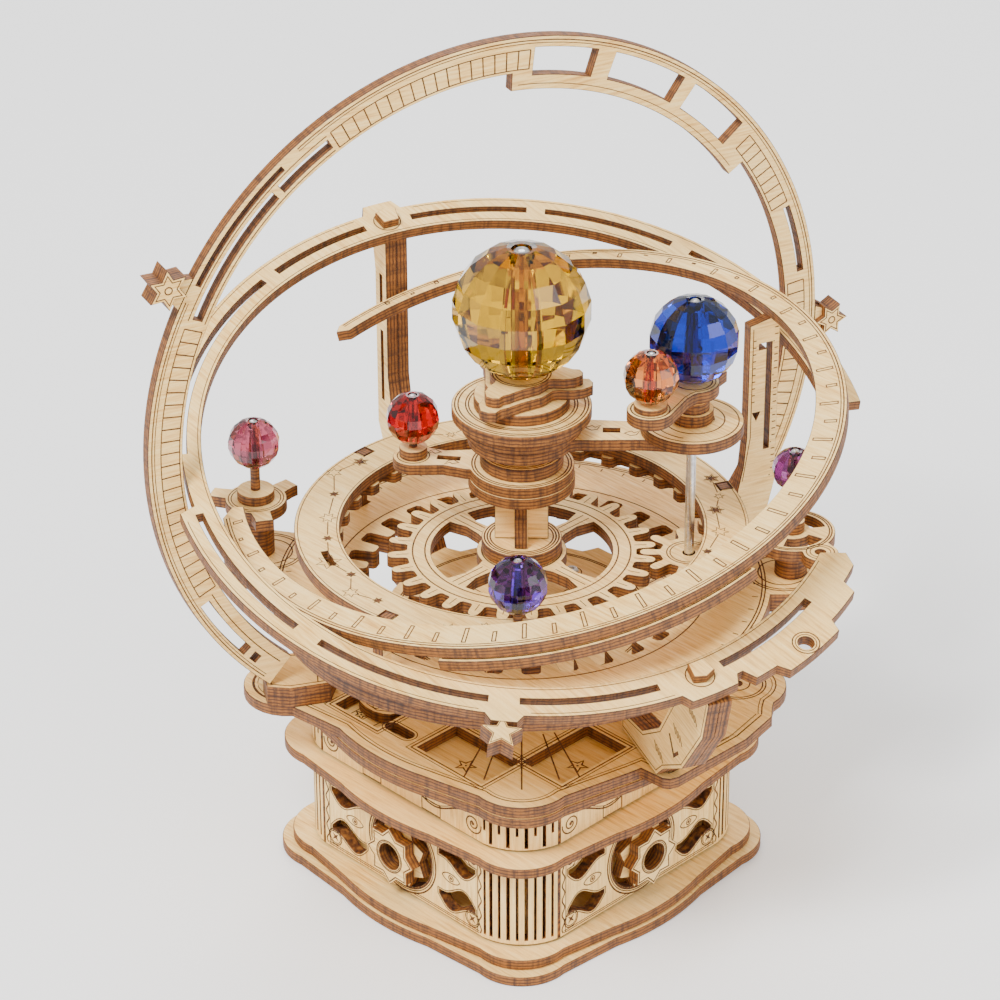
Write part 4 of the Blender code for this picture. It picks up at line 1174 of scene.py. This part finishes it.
def build_rotor():
    disc = flat_ply(88.3)
    turned("shaft_collar", [(0, 30), (4, 30), (4, 88.3), (9.6, 88.3), (9.8, 88.5), (9.8, 91.6), (9.6, 91.8),
                            (0, 91.8)],
           disc, nodes=("drive_shaft",))
    engrave("shaft_collar_lines", rings_at((9.1, 8.4, 7.7)), flat(0), 91.8, "rotor", 0.3)
    low, high = COLUMN_Z
    for k, (x0, x1, az) in enumerate(((-6.5, 6.5, EARTH_AZ), (1.6, 6.5, EARTH_AZ + 90),
                                      (1.6, 6.5, EARTH_AZ - 90))):
        place = upright(az, 0, 0, low)
        plate("column_leaf_%d" % k, [box(x0, x1, 0, high - low)], PLY, place,
              ("cross_column",) if k == 0 else (), "rotor")
    end = circle(5.0, 24, (RED_R, 0))
    neck = [(0, -5), (13, -4.9), (20, -3.4), (RED_R, -3.4), (RED_R, 3.4), (20, 3.4), (13, 4.9), (0, 5)]
    leaves = ([merged(circle(12.9, 64))], [merged(circle(12.9 - 0.2, 64), neck, end),
                                           box(15.0, 20.5, -0.9, 0.9)])
    for k, loops in enumerate(leaves):
        plate("inner_arm_leaf_%d" % k, loops, INNER_LEAF, flat(INNER_ARM_Z + 2.9 * k, 0, 0, RED_AZ),
              ("inner_arm",) if k == 0 else (), "rotor")
    bird = [(0.0, 0.0), (1.4, 0.9), (2.2, 0.2), (3.4, 1.4), (2.6, -0.6), (1.4, -1.0)]
    engrave("inner_arm_lines", rings_at((12.0, 11.3)) + [ring(0.22, 3.9, 32, (RED_R, 0)),
            (shift(bird, 15.0, 1.9), True, 0.2), (shift(bird, 20.0, -2.6), True, 0.2)],
            flat(INNER_ARM_Z + 2.9, 0, 0, RED_AZ), INNER_LEAF, "rotor")
    cup("red_cup", 3.4, (112.4, 114.8), 1.0, 116.2, 112.5, RED, "rotor", ("red_seat",))
    turned("sun_stack", [(0, 112.4), (9.9, 112.4), (10.1, 112.6), (10.1, 115.6), (9.9, 115.8), (7.0, 115.8),
                         (7.0, 122.4), (14.4, 122.4), (14.6, 122.6), (14.6, 125.1), (14.4, 125.3),
                         (9.0, 125.3),
                         (9.0, 125.6), (16.6, 125.6), (16.8, 125.8), (16.8, 128.2), (16.6, 128.4),
                         (11.5, 128.4),
                         (11.5, 131.0), (11.3, 131.2), (0, 131.2)],
           flat_ply(112.5), steps=64, nodes=("upper_column",))
    engrave("sun_stack_lines", rings_at((16.0, 15.2, 13.4, 12.7)), flat(0), 128.4, "rotor", 0.26)
    engrave("sun_stack_low_lines", rings_at((9.3, 8.6)), flat(0), 115.8, "rotor", 0.24)
    arm = merged(circle(13.0, 64), [(0, -5.5), (13, -5.4), (EARTH_R - 12, -4.6), (EARTH_R, -4.6),
                                    (EARTH_R, 4.6),
                                    (EARTH_R - 12, 4.6), (13, 5.4), (0, 5.5)],
                                    circle(5.6, 32, (EARTH_R, 0)))
    place = flat(OUTER_ARM_Z, 0, 0, EARTH_AZ)
    plate("outer_arm_leaf", [arm, circle(7.3, 32), circle(1.6, 20, (EARTH_R, 0)),
                             box(19.5, 23.5, -1.1, 1.1)], PLY,
          place, ("outer_arm",), "rotor")
    bird = [(0.0, 0.0), (1.6, 1.1), (2.4, 0.2), (3.8, 1.5), (2.9, -0.7), (1.5, -1.2)]
    engrave("outer_arm_lines", rings_at((12.2, 8.4)) + [(shift(bird, 15.2, 1.0), True, 0.2),
            (shift(bird, 24.6, -1.4), True, 0.2)], place, PLY, "rotor")

    turned("earth_seat", [(1.6, 121.9), (12.2, 121.9), (12.4, 122.1), (12.4, 124.7), (12.2, 124.9),
                          (1.6, 124.9)],
           flat_ply(121.9), EARTH, 64, nodes=("earth_disc",), closed=True)
    lines = [(spiral(5.2, 9.6, 40, 620, EARTH, 90), False, 0.26), ring(0.24, 11.2, 64, EARTH),
             (arc(10.3, 120, 250, 30, EARTH), False, 0.3)]
    engrave("earth_seat_lines", lines, flat(0), 124.9, "rotor")

    low, high = (flat(z) for z in SWIRL_Z)
    plate("sun_swirl_low", [swirl(17.0)], SWIRL_LEAF, low, ("sun_swirl",), "rotor", bevel=0.18)
    plate("sun_swirl_top", [swirl(14.6)], SWIRL_LEAF, high, (), "rotor", bevel=0.18)
    engrave("sun_swirl_lines", rings_at((7.0, 6.3), 40), high, SWIRL_LEAF, "rotor", 0.24)


# ------------------------------------------------------------- outer groups

def build_moon_group():
    turned("moon_rod", [(0, 84.2), (1.0, 84.2), (1.2, 84.4), (1.2, 131.8), (1.0, 132.0), (0, 132.0)],
           [STEEL], EARTH,
           24, "moon_group", ("moon_spindle",))
    turned("moon_collar", [(1.25, 125.2), (5.0, 125.2), (5.1, 125.3), (5.1, 128.0), (5.0, 128.1),
                           (4.1, 128.1),
                           (4.1, 130.8), (1.25, 130.8)], flat_ply(125.2), EARTH, 40, "moon_group",
                           closed=True)
    pinion = external_gear(PINION_TEETH, 0.42, EARTH_AZ + 180.0)
    place = flat(SUN_GEAR_Z, *EARTH)
    plate("moon_pinion_gear", [pinion, circle(1.5, 20)], PLY, place, ("moon_pinion",), "moon_group")
    engrave("moon_pinion_lines", rings_at((5.4, 4.6), 36), place, PLY, "moon_group", 0.22)
    arm = merged(circle(6.3, 40), circle(5.6, 32, (MOON_R, 0)),
                 [(-9.0, -3.6), (4, -4.2), (MOON_R, -3.6), (MOON_R, 3.6), (4, 4.2), (-9.0, 3.6)])
    place = flat(MOON_ARM_Z, *EARTH, MOON_AZ)
    plate("moon_arm_leaf", [arm], PLY, place, ("moon_arm",), "moon_group", bevel=RING_BEVEL)
    engrave("moon_arm_lines", [(inset(arm, 0.9), True, 0.18), ring(0.24, 4.6, 32),
                               ring(0.2, 4.6, 28, (MOON_R, 0))], place, PLY, "moon_group")
    cup("moon_cup", 4.0, (135.35, 136.8), 1.1, 138.0, MOON_ARM_Z, MOON, "moon_group")


def build_outer_seats():
    place = flat(PINK_Z, *PINK, PINK_AT[1] - 25)
    turned("pink_stem", rod(4.2, 80.2, 91.9), flat_ply(80.4), PINK, 32, "pink_group",
           nodes=("pink_carrier",))
    arms = [turn(box(0, 11.6, -2.2, 2.2), a) for a in (20, 140, 260)]
    plate("pink_star_disc", [merged(circle(7.6, 48), *arms)], PLY, place, (), "pink_group",
          bevel=RING_BEVEL)
    engrave("pink_star_lines", rings_at((6.8, 6.1), 40), place, PLY, "pink_group", 0.2)
    cup("pink_cup", 4.6, (95.05, 97.6), 1.2, 104.0, PINK_Z, PINK, "pink_group", foot=0.15)

    turned("purple_stem", rod(4.0, 80.2, 88.9), flat_ply(80.4), PURPLE, 32, "purple_group",
           nodes=("purple_wheel",))
    place = flat(PURPLE_Z, *PURPLE, PURPLE_AT[1])
    windows = [ring_sector(4.6, 8.2, a, a + 76, 12) for a in (10, 130, 250)]
    eye = polar(12.2, -62)
    plate("purple_ring", [merged(circle(10.5, 56), circle(4.4, 32, eye))] + windows
          + [circle(1.3, 20, eye)], PLY,
          place, (), "purple_group", bevel=RING_BEVEL)
    lines = rings_at((9.7, 9.1), 56) + [ring(0.22, 3.4, 30, eye), ring(0.18, 2.5, 30, eye)]
    engrave("purple_ring_lines", lines, place, PLY, "purple_group")
    cup("purple_cup", 3.0, (92.05, 95.0), 1.2, 103.6, PURPLE_Z, PURPLE, "purple_group", foot=0.15)


def build_key():
    half = [(1.5, 17.0), (1.5, 48.6), (2.4, 49.6), (4.5, 50.0), (9.0, 50.6), (10.2, 52.6), (9.6, 55.5),
            (8.0, 57.9),
            (6.5, 59.0), (3.6, 59.2), (1.8, 58.0)]
    outline = half + [(-x, y) for x, y in reversed(half)]
    eyes = [circle(1.9, 20, (side * 5.6, 54.8)) for side in (-1, 1)]
    place = flat(KEY_Z)
    plate("key_leaf", [outline] + eyes, PLY, place, ("winding_key",), "key", bevel=RING_BEVEL)
    engrave("key_lines", [ring(0.2, 2.7, 24, (side * 5.6, 54.8)) for side in (-1, 1)], place, PLY, "key")


# ------------------------------------------------------------------- beads

def facets(name, size, at, rows, cols, body, bore, twist, bead):
    """Ball cut in rows of flats, with a fine bore down its axis."""
    r, z = size
    profile = [(bore, -r * 0.965)]
    start = math.asin(min(0.9, bore * 1.45 / r))
    for k in range(rows + 1):
        a = start + (math.pi - 2 * start) * k / rows
        profile.append((r * math.sin(a), -r * math.cos(a)))
    profile.append((bore, r * 0.965))
    bm = bmesh.new()
    rings = []
    for pr, pz in profile:
        ring = [polar(pr, 360.0 * k / cols + twist, at) for k in range(cols)]
        rings.append([bm.verts.new((x * MM, y * MM, (z + pz) * MM)) for x, y in ring])
    for a, b in zip(rings, rings[1:] + rings[:1]):
        for k in range(cols):
            j = (k + 1) % cols
            bm.faces.new((a[k], a[j], b[j], b[k]))
    return add_piece(name, bm, [BEADS[bead]], body, (bead,), smooth=None)


def build_beads():
    table = (
        ("sun", SUN_BEAD, (0.0, 0.0), 9, 14, "rotor", 2.5, 96.0),
        ("blue", BLUE_BEAD, EARTH, 9, 14, "moon_group", 1.5, 0.0),
        ("orange", ORANGE_BEAD, MOON, 8, 12, "moon_group", 1.15, 5.0),
        ("red", RED_BEAD, RED, 8, 12, "rotor", 1.15, 5.0),
        ("pink", PINK_BEAD, PINK, 9, 14, "pink_group", 1.25, 5.0),
        ("purple", PURPLE_BEAD, PURPLE, 8, 12, "purple_group", 1.25, 5.0),
        ("violet", VIOLET_BEAD, VIOLET, 9, 14, "violet_group", 1.25, 5.0))
    for key, size, at, rows, cols, body, bore, twist in table:
        facets(key + "_ball", size, at, rows, cols, body, bore, twist, key + "_bead")
        r, z = size
        screw = [(bore * wide, z + r * high) for wide, high in
                 ((0, 0.80), (0.8, 0.80), (0.8, 0.93), (0.55, 0.955), (0.3, 0.93), (0, 0.93))]
        turned(key + "_pin_head", screw, [STEEL], at, 20, body)
    turned("sun_pin", rod(1.6, 136.8, 152.0), [CLEAR_YELLOW], (0, 0), 24, "rotor")
    low = VIOLET_BEAD[1] - VIOLET_BEAD[0] - 5.0
    turned("violet_post", rod(1.1, low, VIOLET_BEAD[1] - 2), flat_ply(low), VIOLET, 24, "violet_group")


build_base()
build_deck()
build_meridian()
build_slotted()
build_graduated()
build_posts()
build_gear_stage()
build_rotor()
build_moon_group()
build_outer_seats()
build_key()
build_beads()


# -------------------------------------------------------------------- studio

def build_studio():
    mesh = bpy.data.meshes.new("floor")
    mesh.from_pydata([(x, y, 0) for x, y in box(-FLOOR_HALF, FLOOR_HALF, -FLOOR_HALF, FLOOR_HALF)], [],
                     [(0, 1, 2, 3)])
    floor = bpy.data.objects.new("floor", mesh)
    bpy.context.scene.collection.objects.link(floor)
    mat, _, shader = blank("pale_floor", 0.9)
    shader.inputs["Base Color"].default_value = (0.96, 0.96, 0.96, 1.0)
    mesh.materials.append(mat)

    world = bpy.data.worlds.new("studio")
    world.use_nodes = True
    back = world.node_tree.nodes["Background"]
    back.inputs["Color"].default_value = (1.0, 1.0, 1.0, 1.0)
    back.inputs["Strength"].default_value = WORLD_LIGHT
    bpy.context.scene.world = world

    for name, at, size, power in LAMPS:
        data = bpy.data.lights.new(name, "AREA")
        data.size = size
        data.energy = power
        lamp = bpy.data.objects.new(name, data)
        lamp.location = at
        lamp.rotation_euler = (Vector(LOOK_AT) - Vector(at)).to_track_quat("-Z", "Y").to_euler()
        bpy.context.scene.collection.objects.link(lamp)

    data = bpy.data.cameras.new("camera")
    data.lens = CAMERA_LENS
    data.sensor_width = 36.0
    data.shift_x = CAMERA_SHIFT
    data.clip_start, data.clip_end = 0.05, 20.0
    camera = bpy.data.objects.new("camera", data)
    camera.location = CAMERA_AT
    camera.rotation_euler = [math.radians(a) for a in CAMERA_TURN]
    bpy.context.scene.collection.objects.link(camera)
    bpy.context.scene.camera = camera


build_studio()
